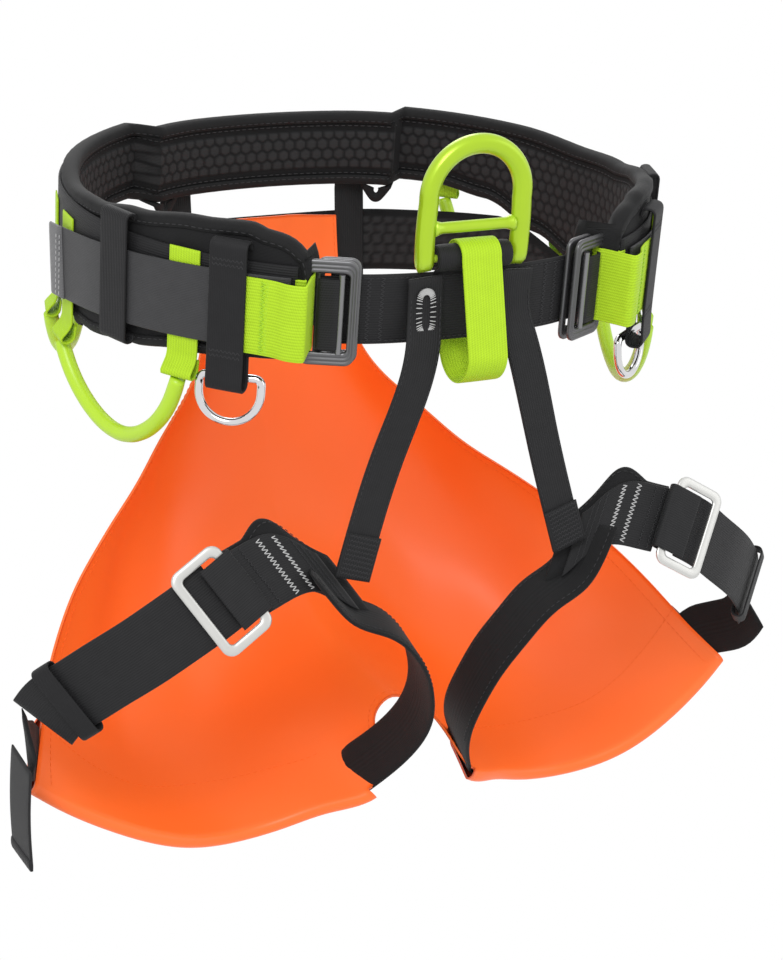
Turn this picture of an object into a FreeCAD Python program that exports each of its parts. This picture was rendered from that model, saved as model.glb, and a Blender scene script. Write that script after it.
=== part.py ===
import FreeCAD, Part
import math
import os

# Canyoning sit harness with a waist belt, two leg loops and a protective seat. Millimetres.
# +Z is up, the wearer faces -Y, +X is the wearer's left. The origin is the centre of the waist
# opening, level with the top rim of the belt's back.

V = FreeCAD.Vector
UP = V(0, 0, 1)

# Waist oval, made of tangent arcs: the inner face of the padded belt
WAIST_HALF_WIDTH = 179.0
WAIST_HALF_DEPTH = 143.0
FRONT_ARC_R = 300.0
SIDE_ARC_R = 165.0
CORNER_ARC_R = 110.0
GIRTH_OFFSET = 8.0      # distances round the waist are measured this far outside the inner face
BELT_TILT = 8.5         # degrees, back of the belt higher than its front

# Belt outline: height of the top and bottom edges against the front-to-back position
BELT_TOP = [(-200, 9), (-134, 11), (-125, 15), (-101, 13), (-60, 7), (-20, 1), (30, -2), (80, 0), (200, 0)]
BELT_BOTTOM = [(-200, -63), (-136, -65), (-95, -70), (-60, -76), (-20, -82), (20, -82), (60, -72),
               (100, -57), (130, -52), (200, -52)]
TONGUE_END = 91.0       # the padding stops this far round from the front centre
TONGUE_ROUND = 26.0

# Thickness and position of the layers, measured outwards from the inner face
LINING = (-1.6, -0.2)
PAD = (0.0, 8.0)
COVER = (8.2, 9.4)
LOAD_WEB = (9.6, 11.2)
GEAR_TAB = (11.4, 12.8)
TAIL = (13.1, 14.9)
SIDE_TAB = (15.2, 17.0)
REAR_KEEPER = (15.2, 16.8)
FRONT_KEEPER = (17.3, 18.9)
FRONT_WEB = (8.2, 10.2)
BINDING_MARGIN = 5.0

WEB_WIDE = 45.0         # main webbing
WEB_NARROW = 23.0       # riser and suspender webbing
WEB_THICK = 2.0

FRONT_WEB_Z = (-58.0, -15.2)
LOAD_WEB_Z = (-50.0, -6.0)
TAIL_Z = -34.5          # middle of the webbing's height at the front
TAIL_SPAN = (104.0, 254.0)
TAIL_FREE = 44.0        # the folded end that leaves the belt straight
TAIL_SINK = 14.0        # the tail hangs this much lower at its free end
SIDE_TAB_Z = (-59.5, -13.5)
SIDE_TAB_SPAN = (93.3, 134.0)
FRONT_KEEPER_SPAN = (127.0, 150.0)
REAR_KEEPER_SPAN = (206.0, 230.0)
GEAR_TAB_W = 22.0

# Waist buckle: two pressed frames and a bar, turning on the frame's rear side bar
BUCKLE_W = 33.0
BUCKLE_H = 64.0
BUCKLE_T = 2.6
BUCKLE_ROUND = 6.0
BUCKLE_RIM = 5.0
BUCKLE_CAP = 8.0
BUCKLE_S = 84.5
BUCKLE_OFF = 17.6
BUCKLE_Z = -36.5
REAR_FRAME_W = 26.0
REAR_FRAME_SHIFT = 5.0
REAR_FRAME_DROP = 5.4

# Tie-in ring on its pin and textile sleeve
PIN_R = 2.5
RUN_CLEARANCE = 0.05
SLEEVE_R = 7.5
PIVOT_Y = -153.0
PIVOT_Z = -6.5
RING_HALF = 30.4        # leg centre line from the middle
RING_LEG = 11.6
RING_T = 10.0
RING_ARC_H = 36.5       # centre of the arch above the pin
RING_TIP_R = 8.0
CROSSBAR_R = 3.5
CROSSBAR_H = 18.0

# Belay loop
BELAY_W = 26.0
BELAY_T = 2.6
BELAY_IN_R = SLEEVE_R + 0.4
BELAY_LOW_R = 17.0
BELAY_DROP = 56.0
BELAY_X = 2.0

# Side ring (steel, D shape) in its webbing loop
DRING_WIRE_R = 2.5
DRING_HALF = 18.5
DRING_ARM = 9.0
DRING_S = 138.5
DRING_OFF = 13.9
DRING_Z = -78.5

# Gear loops: ends as (distance round the waist, offset, height) and how far each hangs
GEAR_TUBE_R = 5.0
GEAR_FRONT = [(168.0, 15.6, -84.0), (282.0, 15.6, -97.0)]
GEAR_REAR = [(322.0, 15.6, -94.0), (418.0, 15.2, -66.0)]
GEAR_TAB_GAP = 2.8       # from the tube's end up to its tab
GEAR_DROP = 46.0
GEAR_TAB_TOP = {"front": -5.0, "side": -16.0, "rear": -8.0}

# Small tabs with a hole under the back of the belt
HAUL_TAB_X = 84.0
HAUL_TAB_W = 17.0
HAUL_TAB_DROP = 13.0
HAUL_HOLE_R = 2.2

# Risers and rear suspender straps
RISER_TOP = (30.0, -154.8, -16.6)
RISER_LINE = [(31.5, -150.3, -76.0), (50.0, -146.5, -138.0), (75.0, -141.0, -219.0)]
RISER_T = 2.4
SUSPENDER_X = 66.0
ANCHOR_Z = (-53.5, -4.0)
SUSPENDER_TOP = (66.0, 153.8, -33.5)
SUSPENDER_LOW = (65.5, 152.8, -86.0)

# Lower back band: level, below the belt, the seat's top edge is sewn to it
BACK_BAND_LINE = [(-84, 157.0), (-60, 159.5), (0, 161.5), (60, 159.5), (84, 157.0)]
BACK_BAND_Z = (-96.0, -51.0)
BACK_BAND_T = 4.0
SIDE_BAND_END = 98.0    # the side parts stop this far from the back centre
SIDE_BAND_LAYER = (1.0, 5.0)
SIDE_BAND_TOP = [(24, -87.5), (40, -81), (60, -70.5), (75, -61.5), (92, -55), (150, -52.5)]
SIDE_BAND_LOW = [(24, -89.5), (50, -92.5), (80, -95.5), (150, -96)]

# Leg loop, wearer's left side: padded band from the riser down the inner thigh, then inside the
# hem under the thigh, then up to the strap
LEG_BAND_START = [(78, -141, -240), (56, -143, -250), (39, -142, -266), (27, -134, -286), (20, -124, -308),
                  (19, -110, -330), (24, -96, -348)]
LEG_BAND_END = [(254, -72, -322), (257, -84, -306)]
LEG_BAND_T = 4.0
LEG_BAND_W = 38.0
HEM_BAND_BACK = 24.0    # the band's middle lies this far behind the fold
HEM_COLUMNS = (25, 40)
THIGH_CENTRE = (140, -95, -300)
THIGH_AXIS = (-0.09, 0.96, 0.27)

LEG_FRONT = [(84, -136.5, -221), (98, -137, -211), (114, -138, -205), (132, -140, -209), (143, -142, -212.5)]
LEG_STRAP = [(158, -143.5, -216.5), (172, -143.0, -225), (188, -137, -237), (204, -130, -249),
             (222, -119, -263), (237, -106, -277), (246, -96, -287)]
LEG_WIDTH_DIR = (0.51, 0.30, 0.80)
LEG_BUCKLE_AT = (160.5, -149.0, -218.0)
LEG_BUCKLE_RUN = (0.90, -0.06, -0.42)
LEG_BUCKLE_W = 36.0
LEG_BUCKLE_H = 60.0
LEG_BUCKLE_T = 2.4
LEG_BUCKLE_RIM = 6.0
LEG_KEEPER_POINT = 11   # of the 13 points along the strap
LEG_KEEPER_LONG = 14.0
LEG_TAIL_RIGHT = [(-264, -86, -320), (-264.5, -84, -340), (-265, -83, -362), (-265, -82, -386)]
LEG_TAIL_W = 38.0

# Seat: rows across the wearer's left half, from the top edge to the front fold
SEAT_T = 1.6
SEAT_COLUMNS = 41
SEAT_LINES = 37
HEM_GAP = 6.6
HEM_T = 1.2
SEAT_ROWS = [
    [(0, 152, -51), (19, 152, -51), (36, 151, -52), (53, 149, -53)],
    [(0, 156, -96), (20, 155, -96), (38, 151, -97), (53.5, 143, -98)],
    [(0, 159, -140), (24, 157, -140), (46, 148, -142), (63, 127, -145)],
    [(0, 158, -185), (36, 156, -186), (68, 142, -184), (91, 111, -181)],
    [(0, 150, -236), (50, 148, -238), (98, 126, -233), (134, 81, -221)],
    [(0, 122, -284), (62, 122, -298), (126, 96, -296), (184, 38, -260)],
    [(0, 74, -318), (40, 76, -334), (84, 70, -352), (148, 46, -352), (222, -8, -303)],
    [(0, 14, -334), (30, 8, -348), (62, 0, -370), (110, -6, -388), (154, -10, -384), (200, -22, -361),
     (239, -38, -331)],
    [(0, -48, -340), (13, -52, -345), (23, -70, -355), (34, -91, -379), (62, -78, -392), (90, -66, -402),
     (120, -62, -406), (160, -68, -398), (200, -68, -380), (232, -64, -361), (250, -61, -348)],
]


# ---------------------------------------------------------------- small helpers

def vec(p):
    return V(p[0], p[1], p[2])


def unit(v):
    return V(v).normalize()


def mirror(shape):
    """The same piece on the wearer's other side."""
    return shape.mirror(V(0, 0, 0), V(1, 0, 0))


def tilt(shape):
    """From the belt's own level frame to the worn frame."""
    turned = shape.copy()
    turned.rotate(V(0, 0, 0), V(1, 0, 0), BELT_TILT)
    return turned


def tilt_point(p):
    return FreeCAD.Rotation(V(1, 0, 0), BELT_TILT).multVec(vec(p))


def one_solid(shape):
    """The shape as a plain solid, or a compound where it has several."""
    solids = shape.Solids
    return solids[0] if len(solids) == 1 else Part.makeCompound(solids)


def interpolate(table, x):
    """Smooth value of a table of (x, value) pairs at x, by monotone cubic steps."""
    for (x0, a), (x1, b) in zip(table, table[1:]):
        if x <= x1:
            break
    t = min(max((x - x0) / (x1 - x0), 0.0), 1.0)
    return a + (b - a) * t * t * (3 - 2 * t)


def spline_points(points, count):
    """Evenly spaced points on a smooth curve through a few chosen ones."""
    curve = Part.BSplineCurve()
    curve.interpolate([vec(p) for p in points])
    return curve.discretize(Number=count)


def loft(sections, ruled=True):
    """A solid through closed sections given as corner lists."""
    wires = [Part.makePolygon(list(corners) + [corners[0]]) for corners in sections]
    return Part.makeLoft(wires, True, ruled)


def ribbon(centres, across, width, thick, facing):
    """Flat webbing along a line of centres; across is the width direction at each centre."""
    sections = []
    for i, c in enumerate(centres):
        ahead = centres[min(i + 1, len(centres) - 1)] - centres[max(i - 1, 0)]
        side = unit(across[i] - unit(ahead) * across[i].dot(unit(ahead)))
        normal = unit(ahead.cross(side))
        if normal.dot(facing[i]) < 0:
            normal = -normal
        half = side * (width / 2)
        sections.append([c - half, c + half, c + half + normal * thick, c - half + normal * thick])
    return loft(sections)


def plate_wire(width, height, radius):
    """Closed rounded rectangle in the XZ plane, centred on the origin."""
    box = Part.makeBox(width, 1.0, height, V(-width / 2, 0, -height / 2))
    box = box.makeFillet(radius, [e for e in box.Edges if abs(e.tangentAt(e.FirstParameter).y) > 0.9])
    face = min(box.Faces, key=lambda f: f.CenterOfMass.y)
    return face.OuterWire


def rounded_plate(width, height, radius, thick):
    """Rounded rectangular plate in the XZ plane, centred, its thickness along Y."""
    plate = Part.Face(plate_wire(width, height, radius)).extrude(V(0, thick, 0))
    plate.translate(V(0, -thick / 2, 0))
    return plate


# ---------------------------------------------------------------- waist oval

def corner_centre():
    """Centre of the corner arc that is tangent to the front arc and the side arc."""
    front = V(0, FRONT_ARC_R - WAIST_HALF_DEPTH, 0)
    side = V(WAIST_HALF_WIDTH - SIDE_ARC_R, 0, 0)
    r_front = FRONT_ARC_R - CORNER_ARC_R
    r_side = SIDE_ARC_R - CORNER_ARC_R
    line = side - front
    gap = line.Length
    along = (gap * gap + r_front * r_front - r_side * r_side) / (2 * gap)
    off = math.sqrt(r_front * r_front - along * along)
    foot = front + unit(line) * along
    return foot + unit(line).cross(UP) * -off


def waist_segments():
    """Arcs of the oval from the front centre, anticlockwise: centre, radius, first and last angle."""
    corner = corner_centre()
    cx = abs(corner.x)
    cy = abs(corner.y)
    front_y = FRONT_ARC_R - WAIST_HALF_DEPTH
    side_x = WAIST_HALF_WIDTH - SIDE_ARC_R
    half_front = math.atan2(cx, cy + front_y)
    half_side = math.atan2(cy, cx - side_x)
    quarter = math.pi / 2
    return [
        (V(0, front_y, 0), FRONT_ARC_R, -quarter, -quarter + half_front),
        (V(cx, -cy, 0), CORNER_ARC_R, -quarter + half_front, -half_side),
        (V(side_x, 0, 0), SIDE_ARC_R, -half_side, half_side),
        (V(cx, cy, 0), CORNER_ARC_R, half_side, quarter - half_front),
        (V(0, -front_y, 0), FRONT_ARC_R, quarter - half_front, quarter + half_front),
        (V(-cx, cy, 0), CORNER_ARC_R, quarter + half_front, 2 * quarter - half_side),
        (V(-side_x, 0, 0), SIDE_ARC_R, 2 * quarter - half_side, 2 * quarter + half_side),
        (V(-cx, -cy, 0), CORNER_ARC_R, 2 * quarter + half_side, 3 * quarter - half_front),
        (V(0, front_y, 0), FRONT_ARC_R, 3 * quarter - half_front, 3 * quarter),
    ]


SEGMENTS = waist_segments()
GIRTH = sum((r + GIRTH_OFFSET) * (a1 - a0) for _, r, a0, a1 in SEGMENTS)


def waist_spans(s0, s1):
    """Pieces of arc between two distances from the front centre, in order."""
    spans = []
    for lap in (-1, 0, 1):
        start = lap * GIRTH
        for centre, radius, a0, a1 in SEGMENTS:
            per = radius + GIRTH_OFFSET
            length = per * (a1 - a0)
            low = max(s0, start)
            high = min(s1, start + length)
            if high - low > 1e-5:
                spans.append((centre, radius, a0 + (low - start) / per, a0 + (high - start) / per))
            start += length
    return spans


def on_arc(centre, radius, angle):
    return centre + V(math.cos(angle), math.sin(angle), 0) * radius


def waist_point(s, offset, z=0.0):
    """A point at a distance round the waist, an offset out of the inner face and a height."""
    centre, radius, angle, _ = waist_spans(s, s + 1.0)[0]
    return on_arc(centre, radius + offset, angle) + UP * z


def waist_normal(s):
    _, _, angle, _ = waist_spans(s, s + 1.0)[0]
    return on_arc(V(0, 0, 0), 1.0, angle)


def arc_edge(centre, radius, a0, a1):
    ends = [on_arc(centre, radius, a) for a in (a0, (a0 + a1) / 2, a1)]
    return Part.Arc(*ends).toShape()


def band(s0, s1, layer, z0, z1):
    """A strip of the belt between two distances, two offsets and two heights."""
    inner, outer = layer
    spans = waist_spans(s0, s1)
    first = spans[0]
    last = spans[-1]
    edges = [arc_edge(c, r + outer, a, b) for c, r, a, b in spans]
    edges.append(Part.makeLine(on_arc(last[0], last[1] + outer, last[3]), on_arc(last[0], last[1] + inner, last[3])))
    edges += [arc_edge(c, r + inner, b, a) for c, r, a, b in reversed(spans)]
    edges.append(Part.makeLine(on_arc(first[0], first[1] + inner, first[2]),
                               on_arc(first[0], first[1] + outer, first[2])))
    face = Part.Face(Part.Wire(edges))
    face.translate(V(0, 0, z0))
    return face.extrude(V(0, 0, z1 - z0))


def side_profile(inset):
    """The belt's outline seen from the side, as a prism right across the harness."""
    steps = [y * 1.0 for y in range(-190, 191, 5)]
    top = [V(-250, y, interpolate(BELT_TOP, y) - inset) for y in steps]
    bottom = [V(-250, y, interpolate(BELT_BOTTOM, y) + inset) for y in steps]
    edges = []
    for line in (top, bottom):
        curve = Part.BSplineCurve()
        curve.interpolate(line)
        edges.append(curve.toShape())
    edges.append(Part.makeLine(top[0], bottom[0]))
    edges.append(Part.makeLine(top[-1], bottom[-1]))
    face = Part.Face(Part.Wire(Part.__sortEdges__(edges)))
    return face.extrude(V(500, 0, 0))


def tongue_trim(inset):
    """The corner blocks that round off the front ends of the padding."""
    end_x = waist_point(TONGUE_END, GIRTH_OFFSET).x + inset
    top = interpolate(BELT_TOP, -138) - inset
    low = interpolate(BELT_BOTTOM, -138) + inset
    r = TONGUE_ROUND - inset
    trims = []
    for z, way in ((top, -1), (low, 1)):
        base_z = z - r if way < 0 else z - 30
        square = Part.makeBox(r + 30, 100, r + 30, V(end_x - 30, -200, base_z))
        disc = Part.makeCylinder(r, 100, V(end_x + r, -200, z + way * r), V(0, 1, 0))
        trims.append(square.cut(disc))
    return trims + [mirror(block) for block in trims]


def shaped_belt(layer, inset, end_inset=0.0):
    """One layer of the padded belt, cut to the belt's outline."""
    ring = band(TONGUE_END + end_inset, GIRTH - TONGUE_END - end_inset, layer, -110, 40)
    shape = ring.common(side_profile(inset))
    for block in tongue_trim(inset):
        shape = shape.cut(block)
    return one_solid(shape)


# ---------------------------------------------------------------- belt pieces

def make_belt():
    pieces = {}
    outer = (LINING[0] - 0.2, COVER[1] + 0.1)
    pieces["belt_pad"] = shaped_belt(PAD, BINDING_MARGIN, BINDING_MARGIN)
    pieces["belt_cover"] = shaped_belt(COVER, BINDING_MARGIN, BINDING_MARGIN)
    pieces["belt_lining"] = shaped_belt(LINING, BINDING_MARGIN + 4, 28.0)
    whole = shaped_belt(outer, 0.0)
    hollow = shaped_belt((outer[0] - 1, outer[1] + 1), BINDING_MARGIN - 0.1, BINDING_MARGIN - 0.1)
    pieces["belt_binding"] = one_solid(whole.cut(hollow))
    pieces["load_webbing"] = band(TONGUE_END + 6, GIRTH - TONGUE_END - 6, LOAD_WEB, *LOAD_WEB_Z)
    pieces["front_webbing"] = band(GIRTH - 86, GIRTH + 86, FRONT_WEB, *FRONT_WEB_Z)
    return {name: tilt(shape) for name, shape in pieces.items()}


def strap_tail():
    """Loose end of the waist webbing: round the hip, then straight with a folded end."""
    s0, s1 = TAIL_SPAN
    steps = 20
    length = s1 - s0 + TAIL_FREE
    centres = []
    for i in range(steps + 1):
        s = s0 + (s1 - s0) * i / steps
        centres.append(waist_point(s, TAIL[0], TAIL_Z - TAIL_SINK * ((s - s0) / length) ** 2))
    ahead = unit(UP.cross(waist_normal(s1)) - UP * 0.12)
    centres += [centres[-1] + ahead * d for d in (TAIL_FREE / 2, TAIL_FREE)]
    thick = TAIL[1] - TAIL[0]
    middle = V(0, 0, TAIL_Z)
    away = [c - middle for c in centres]
    tail = ribbon(centres, [UP] * len(centres), WEB_WIDE, thick, away)
    fold_at = centres[-1] - ahead * 7.0
    fold = ribbon([fold_at + waist_normal(s1) * thick, centres[-1] + waist_normal(s1) * thick],
                  [UP] * 2, WEB_WIDE, thick * 1.4, away[-2:])
    return one_solid(tail.fuse(fold))


def side_tab():
    """Green anchor webbing that wraps the waist buckle's rear bar and is sewn to the belt."""
    far = SIDE_TAB_SPAN[1]
    near = SIDE_TAB_SPAN[0]
    height = SIDE_TAB_Z[1] - SIDE_TAB_Z[0]
    wall = 1.5
    outer_line = [(far, SIDE_TAB[0]), (120, SIDE_TAB[0]), (111, SIDE_TAB[0] + 1.6), (104, 20.9), (near, 21.4)]
    outer = [waist_point(s, off) for s, off in outer_line]
    thick = SIDE_TAB[1] - SIDE_TAB[0]
    outside = [waist_point(s, off + thick) for s, off in outer_line]
    inner = [waist_point(s, 11.4) for s in (near, 96, 102)]
    inside = [waist_point(s, 12.9) for s in (near + wall, 96, 102)]
    corner = waist_point(near + wall, outer_line[-1][1])
    ring = outside + inner + list(reversed(inside)) + [corner] + list(reversed(outer[:-1]))
    face = Part.Face(Part.makePolygon(ring + [ring[0]]))
    face.translate(V(0, 0, SIDE_TAB_Z[0]))
    return face.extrude(V(0, 0, height))


def rear_keeper():
    s0, s1 = REAR_KEEPER_SPAN
    low = -73.0
    high = 5.0
    wall = band(s0, s1, REAR_KEEPER, low, high)
    feet = [band(s0, s1, (9.6, REAR_KEEPER[1]), z, z + 1.6) for z in (low, high - 1.6)]
    return one_solid(wall.fuse(feet).removeSplitter())


def front_keeper():
    """Vertical strap over the webbing that ends in a loop round the side ring."""
    s0, s1 = FRONT_KEEPER_SPAN
    low = DRING_Z - DRING_WIRE_R - 2.0
    wall = band(s0, s1, FRONT_KEEPER, low, 5.0)
    top = band(s0, s1, (9.6, FRONT_KEEPER[1]), 3.4, 5.0)
    foot = band(s0, s1, (9.8, FRONT_KEEPER[1]), low, low + 1.6)
    back = band(s0, s1, (9.8, 10.8), low, -66.0)
    return one_solid(wall.fuse([top, foot, back]).removeSplitter())


def gear_tabs():
    """The four short webbings, two a side of each loop, that the gear loops hang from."""
    tabs = []
    places = [(GEAR_FRONT[0], "front"), (GEAR_FRONT[1], "side"), (GEAR_REAR[0], "side"), (GEAR_REAR[1], "rear")]
    for (s, _, z), kind in places:
        half = GEAR_TAB_W / 2
        tabs.append(band(s - half, s + half, GEAR_TAB, z + GEAR_TAB_GAP, GEAR_TAB_TOP[kind]))
    return Part.makeCompound(tabs)


def haul_tabs():
    """Two small tabs with a hole each under the back of the belt."""
    s = GIRTH / 2 - HAUL_TAB_X
    half = HAUL_TAB_W / 2
    top = interpolate(BELT_BOTTOM, 130) - 0.3
    tab = band(s - half, s + half, (2.0, 4.0), top - HAUL_TAB_DROP, top)
    out = waist_normal(s)
    at = waist_point(s, 0.0, top - HAUL_TAB_DROP * 0.5)
    tab = tab.cut(Part.makeCylinder(HAUL_HOLE_R, 8.0, at, out))
    return Part.makeCompound([tab, mirror(tab)])


# ---------------------------------------------------------------- waist buckle

def in_belt_place(shape, s, offset, z):
    """Move a piece modelled with Y outwards and X towards the front centre onto the belt."""
    out = waist_normal(s)
    to_front = -UP.cross(out)
    at = waist_point(s, offset, z)
    matrix = FreeCAD.Matrix(to_front.x, out.x, 0, at.x, to_front.y, out.y, 0, at.y, 0, 0, 1, at.z, 0, 0, 0, 1)
    return shape.transformed(matrix)


def buckle_frame(width, shift, drop):
    plate = rounded_plate(width, BUCKLE_H, BUCKLE_ROUND, BUCKLE_T)
    window = rounded_plate(width - 2 * BUCKLE_RIM, BUCKLE_H - 2 * BUCKLE_CAP, 2.5, BUCKLE_T * 3)
    frame = plate.cut(window)
    frame.translate(V(shift, -drop, 0))
    return frame


def make_waist_buckle():
    bar_x = 5.0
    bar_h = BUCKLE_H - 2 * BUCKLE_CAP
    wrap_r = 3.4
    wrap_h = 43.0
    wrap_len = 11.0
    bar = Part.makeCylinder(1.8, bar_h, V(bar_x, 0.0, -bar_h / 2), UP)
    wrap = Part.makeCylinder(wrap_r, wrap_h, V(bar_x, 0.0, -wrap_h / 2), UP)
    flat = Part.makeBox(wrap_len, wrap_r, wrap_h, V(bar_x - wrap_len, 0.0, -wrap_h / 2))
    wrap = wrap.fuse(flat).removeSplitter().cut(Part.makeCylinder(1.85, 2 * wrap_h, V(bar_x, 0.0, -wrap_h), UP))
    pieces = {
        "buckle_front_frame": buckle_frame(BUCKLE_W, 0.0, 0.0),
        "buckle_rear_frame": buckle_frame(REAR_FRAME_W, REAR_FRAME_SHIFT, REAR_FRAME_DROP),
        "buckle_bar": bar,
        "buckle_wrap": one_solid(wrap),
    }
    return {n: tilt(in_belt_place(p, BUCKLE_S, BUCKLE_OFF, BUCKLE_Z)) for n, p in pieces.items()}


# ---------------------------------------------------------------- tie-in ring and belay loop

def ring_place(shape):
    """From the ring's own frame (pin on the X axis, arch up) onto the belt."""
    moved = shape.copy()
    moved.translate(V(0, PIVOT_Y, PIVOT_Z))
    return tilt(moved)


def make_tie_in():
    half_leg = RING_LEG / 2
    outer_r = RING_HALF + half_leg
    inner_r = RING_HALF - half_leg
    arch = Part.makeCylinder(outer_r, RING_T, V(0, -RING_T / 2, RING_ARC_H), V(0, 1, 0))
    hole = Part.makeCylinder(inner_r, RING_T * 2, V(0, -RING_T, RING_ARC_H), V(0, 1, 0))
    arch = arch.cut(hole)
    arch = arch.common(Part.makeBox(120, 40, 60, V(-60, -20, RING_ARC_H)))
    ring = arch
    for way in (-1, 1):
        corner = min(way * inner_r, way * outer_r)
        leg = Part.makeBox(RING_LEG, RING_T, RING_ARC_H, V(corner, -RING_T / 2, 0))
        eye = Part.makeCylinder(RING_TIP_R, RING_LEG, V(corner, 0, 0), V(1, 0, 0))
        eye = eye.common(Part.makeBox(RING_LEG, RING_T, RING_TIP_R * 2, V(corner, -RING_T / 2, -RING_TIP_R)))
        ring = ring.fuse([leg, eye])
    bar = Part.makeCylinder(CROSSBAR_R, inner_r * 2 + 4, V(-inner_r - 2, 0, CROSSBAR_H), V(1, 0, 0))
    ring = ring.fuse(bar).removeSplitter()
    pin_len = 2 * (RING_HALF + half_leg) - 3.0
    pin = Part.makeCylinder(PIN_R, pin_len, V(-pin_len / 2, 0, 0), V(1, 0, 0))
    ring = ring.cut(pin)
    sleeve_half = inner_r - 0.5
    sleeve = Part.makeCylinder(SLEEVE_R, 2 * sleeve_half, V(-sleeve_half, 0, 0), V(1, 0, 0))
    bore = Part.makeCylinder(PIN_R + RUN_CLEARANCE, 4 * sleeve_half, V(-2 * sleeve_half, 0, 0), V(1, 0, 0))
    sleeve = sleeve.cut(bore)
    return {
        "tie_in_ring": ring_place(one_solid(ring)),
        "ring_pin": ring_place(pin),
        "tie_in_sleeve": ring_place(sleeve),
    }


def make_belay_loop():
    """Closed band over the sleeve, down in front of and behind the front webbing."""
    pivot = tilt_point((0, PIVOT_Y, PIVOT_Z))

    def outline(extra):
        r_top = BELAY_IN_R + extra
        r_low = BELAY_LOW_R + extra
        top = V(0, pivot.y, pivot.z)
        low = V(0, pivot.y, pivot.z - BELAY_DROP)
        lean = math.asin((r_low - r_top) / BELAY_DROP)
        sides = []
        for way in (-1, 1):
            out = V(0, way * math.cos(lean), math.sin(lean))
            sides.append((top + out * r_top, low + out * r_low))
        (lt, ll), (rt, rl) = sides
        arcs = [Part.Arc(lt, top + UP * r_top, rt).toShape(), Part.makeLine(rt, rl),
                Part.Arc(rl, low - UP * r_low, ll).toShape(), Part.makeLine(ll, lt)]
        return Part.Face(Part.Wire(arcs))

    loop = outline(BELAY_T).cut(outline(0.0)).extrude(V(BELAY_W, 0, 0))
    loop.translate(V(BELAY_X - BELAY_W / 2, 0, 0))
    return one_solid(loop)


# ---------------------------------------------------------------- side rings and gear loops

def hang(ring):
    """Turn a placed side ring about its bar until it hangs as straight down as the bar lets it."""
    pivot, axis = side_ring_pivot()
    now = tilt_point((0, 0, -1))
    now = unit(now - axis * now.dot(axis))
    down = unit(-UP + axis * UP.dot(axis))
    turn = math.degrees(math.asin(axis.dot(now.cross(down))))
    ring.rotate(pivot, axis, turn)
    return ring


def side_ring_pivot():
    """Middle and direction of a side ring's straight bar."""
    pivot = tilt_point(waist_point(DRING_S, DRING_OFF, DRING_Z))
    return pivot, tilt_point(UP.cross(waist_normal(DRING_S)))


def make_side_ring():
    """Steel D in its own plane: bar along X, bow downwards."""
    corner = 4.0
    half = DRING_HALF
    arm = DRING_ARM
    r45 = corner * (1 - math.cos(math.pi / 4))
    pts = [V(-half + corner, 0, 0), V(half - corner, 0, 0), V(half, 0, -corner), V(half, 0, -arm)]
    edges = [
        Part.makeLine(pts[0], pts[1]),
        Part.Arc(pts[1], V(half - r45, 0, -r45), pts[2]).toShape(),
        Part.makeLine(pts[2], pts[3]),
        Part.Arc(pts[3], V(0, 0, -arm - half), V(-half, 0, -arm)).toShape(),
        Part.makeLine(V(-half, 0, -arm), V(-half, 0, -corner)),
        Part.Arc(V(-half, 0, -corner), V(-half + r45, 0, -r45), pts[0]).toShape(),
    ]
    path = Part.Wire(edges)
    section = Part.Wire(Part.makeCircle(DRING_WIRE_R, V(0, 0, 0), V(1, 0, 0)))
    ring = path.makePipeShell([section], True, False)
    return hang(tilt(in_belt_place(ring, DRING_S, DRING_OFF, DRING_Z)))


def gear_loop(ends):
    """Stiff tube between two tabs, hanging in a smooth bow."""
    a = tilt_point(waist_point(*ends[0][:2], ends[0][2]))
    b = tilt_point(waist_point(*ends[1][:2], ends[1][2]))
    line = b - a
    drop = V(0, 0, -GEAR_DROP)
    shape = [(0.0, 0.0), (0.06, 0.30), (0.22, 0.74), (0.5, 1.0), (0.78, 0.74), (0.94, 0.30), (1.0, 0.0)]
    points = [a + line * t + drop * d for t, d in shape]
    curve = Part.BSplineCurve()
    curve.interpolate(points)
    path = Part.Wire(curve.toShape())
    start = curve.tangent(curve.FirstParameter)[0]
    section = Part.Wire(Part.makeCircle(GEAR_TUBE_R, points[0], start))
    return path.makePipeShell([section], True, True)


# ---------------------------------------------------------------- risers and suspenders

def make_riser():
    top = tilt_point(RISER_TOP)
    first = V(top.x, top.y + 0.3, top.z)
    points = [first] + [vec(p) for p in RISER_LINE]
    across = [V(1, 0, 0), V(1, 0, 0.08), V(1, 0, 0.27), V(1, 0, 0.34)]
    facing = [V(0, -1, 0)] * 4
    return ribbon(points, across, WEB_NARROW, RISER_T, facing)


def make_suspender():
    """Rear strap from under the belt down to the top of the seat."""
    points = [vec(SUSPENDER_TOP), vec(SUSPENDER_LOW)]
    return ribbon(points, [V(1, 0, 0)] * 2, WEB_NARROW, WEB_THICK, [V(0, 1, 0)] * 2)


def suspender_anchor():
    """The part of a rear strap that is sewn to the back of the belt."""
    s = GIRTH / 2 - SUSPENDER_X
    half = WEB_NARROW / 2
    return tilt(band(s - half, s + half, (11.4, 13.4), *ANCHOR_Z))


def make_back_band():
    """Padded band behind the top of the seat, carried by the rear straps."""
    low, high = BACK_BAND_Z
    centres = [V(x, y, (low + high) / 2) for x, y in BACK_BAND_LINE]
    return ribbon(centres, [UP] * 5, high - low, BACK_BAND_T, [V(0, 1, 0)] * 5)


def make_side_bands():
    """Ends of the lower band: they run forward and taper off under the belt's sides."""
    corners = [V(0, y, z) for y, z in SIDE_BAND_TOP + list(reversed(SIDE_BAND_LOW))]
    outline = Part.Face(Part.makePolygon(corners + [corners[0]])).extrude(V(300, 0, 0))
    side = band(GIRTH / 4, GIRTH / 2 - SIDE_BAND_END, SIDE_BAND_LAYER, -110, -40).common(outline)
    return Part.makeCompound([one_solid(side), mirror(one_solid(side))])


# ---------------------------------------------------------------- leg loop

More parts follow.
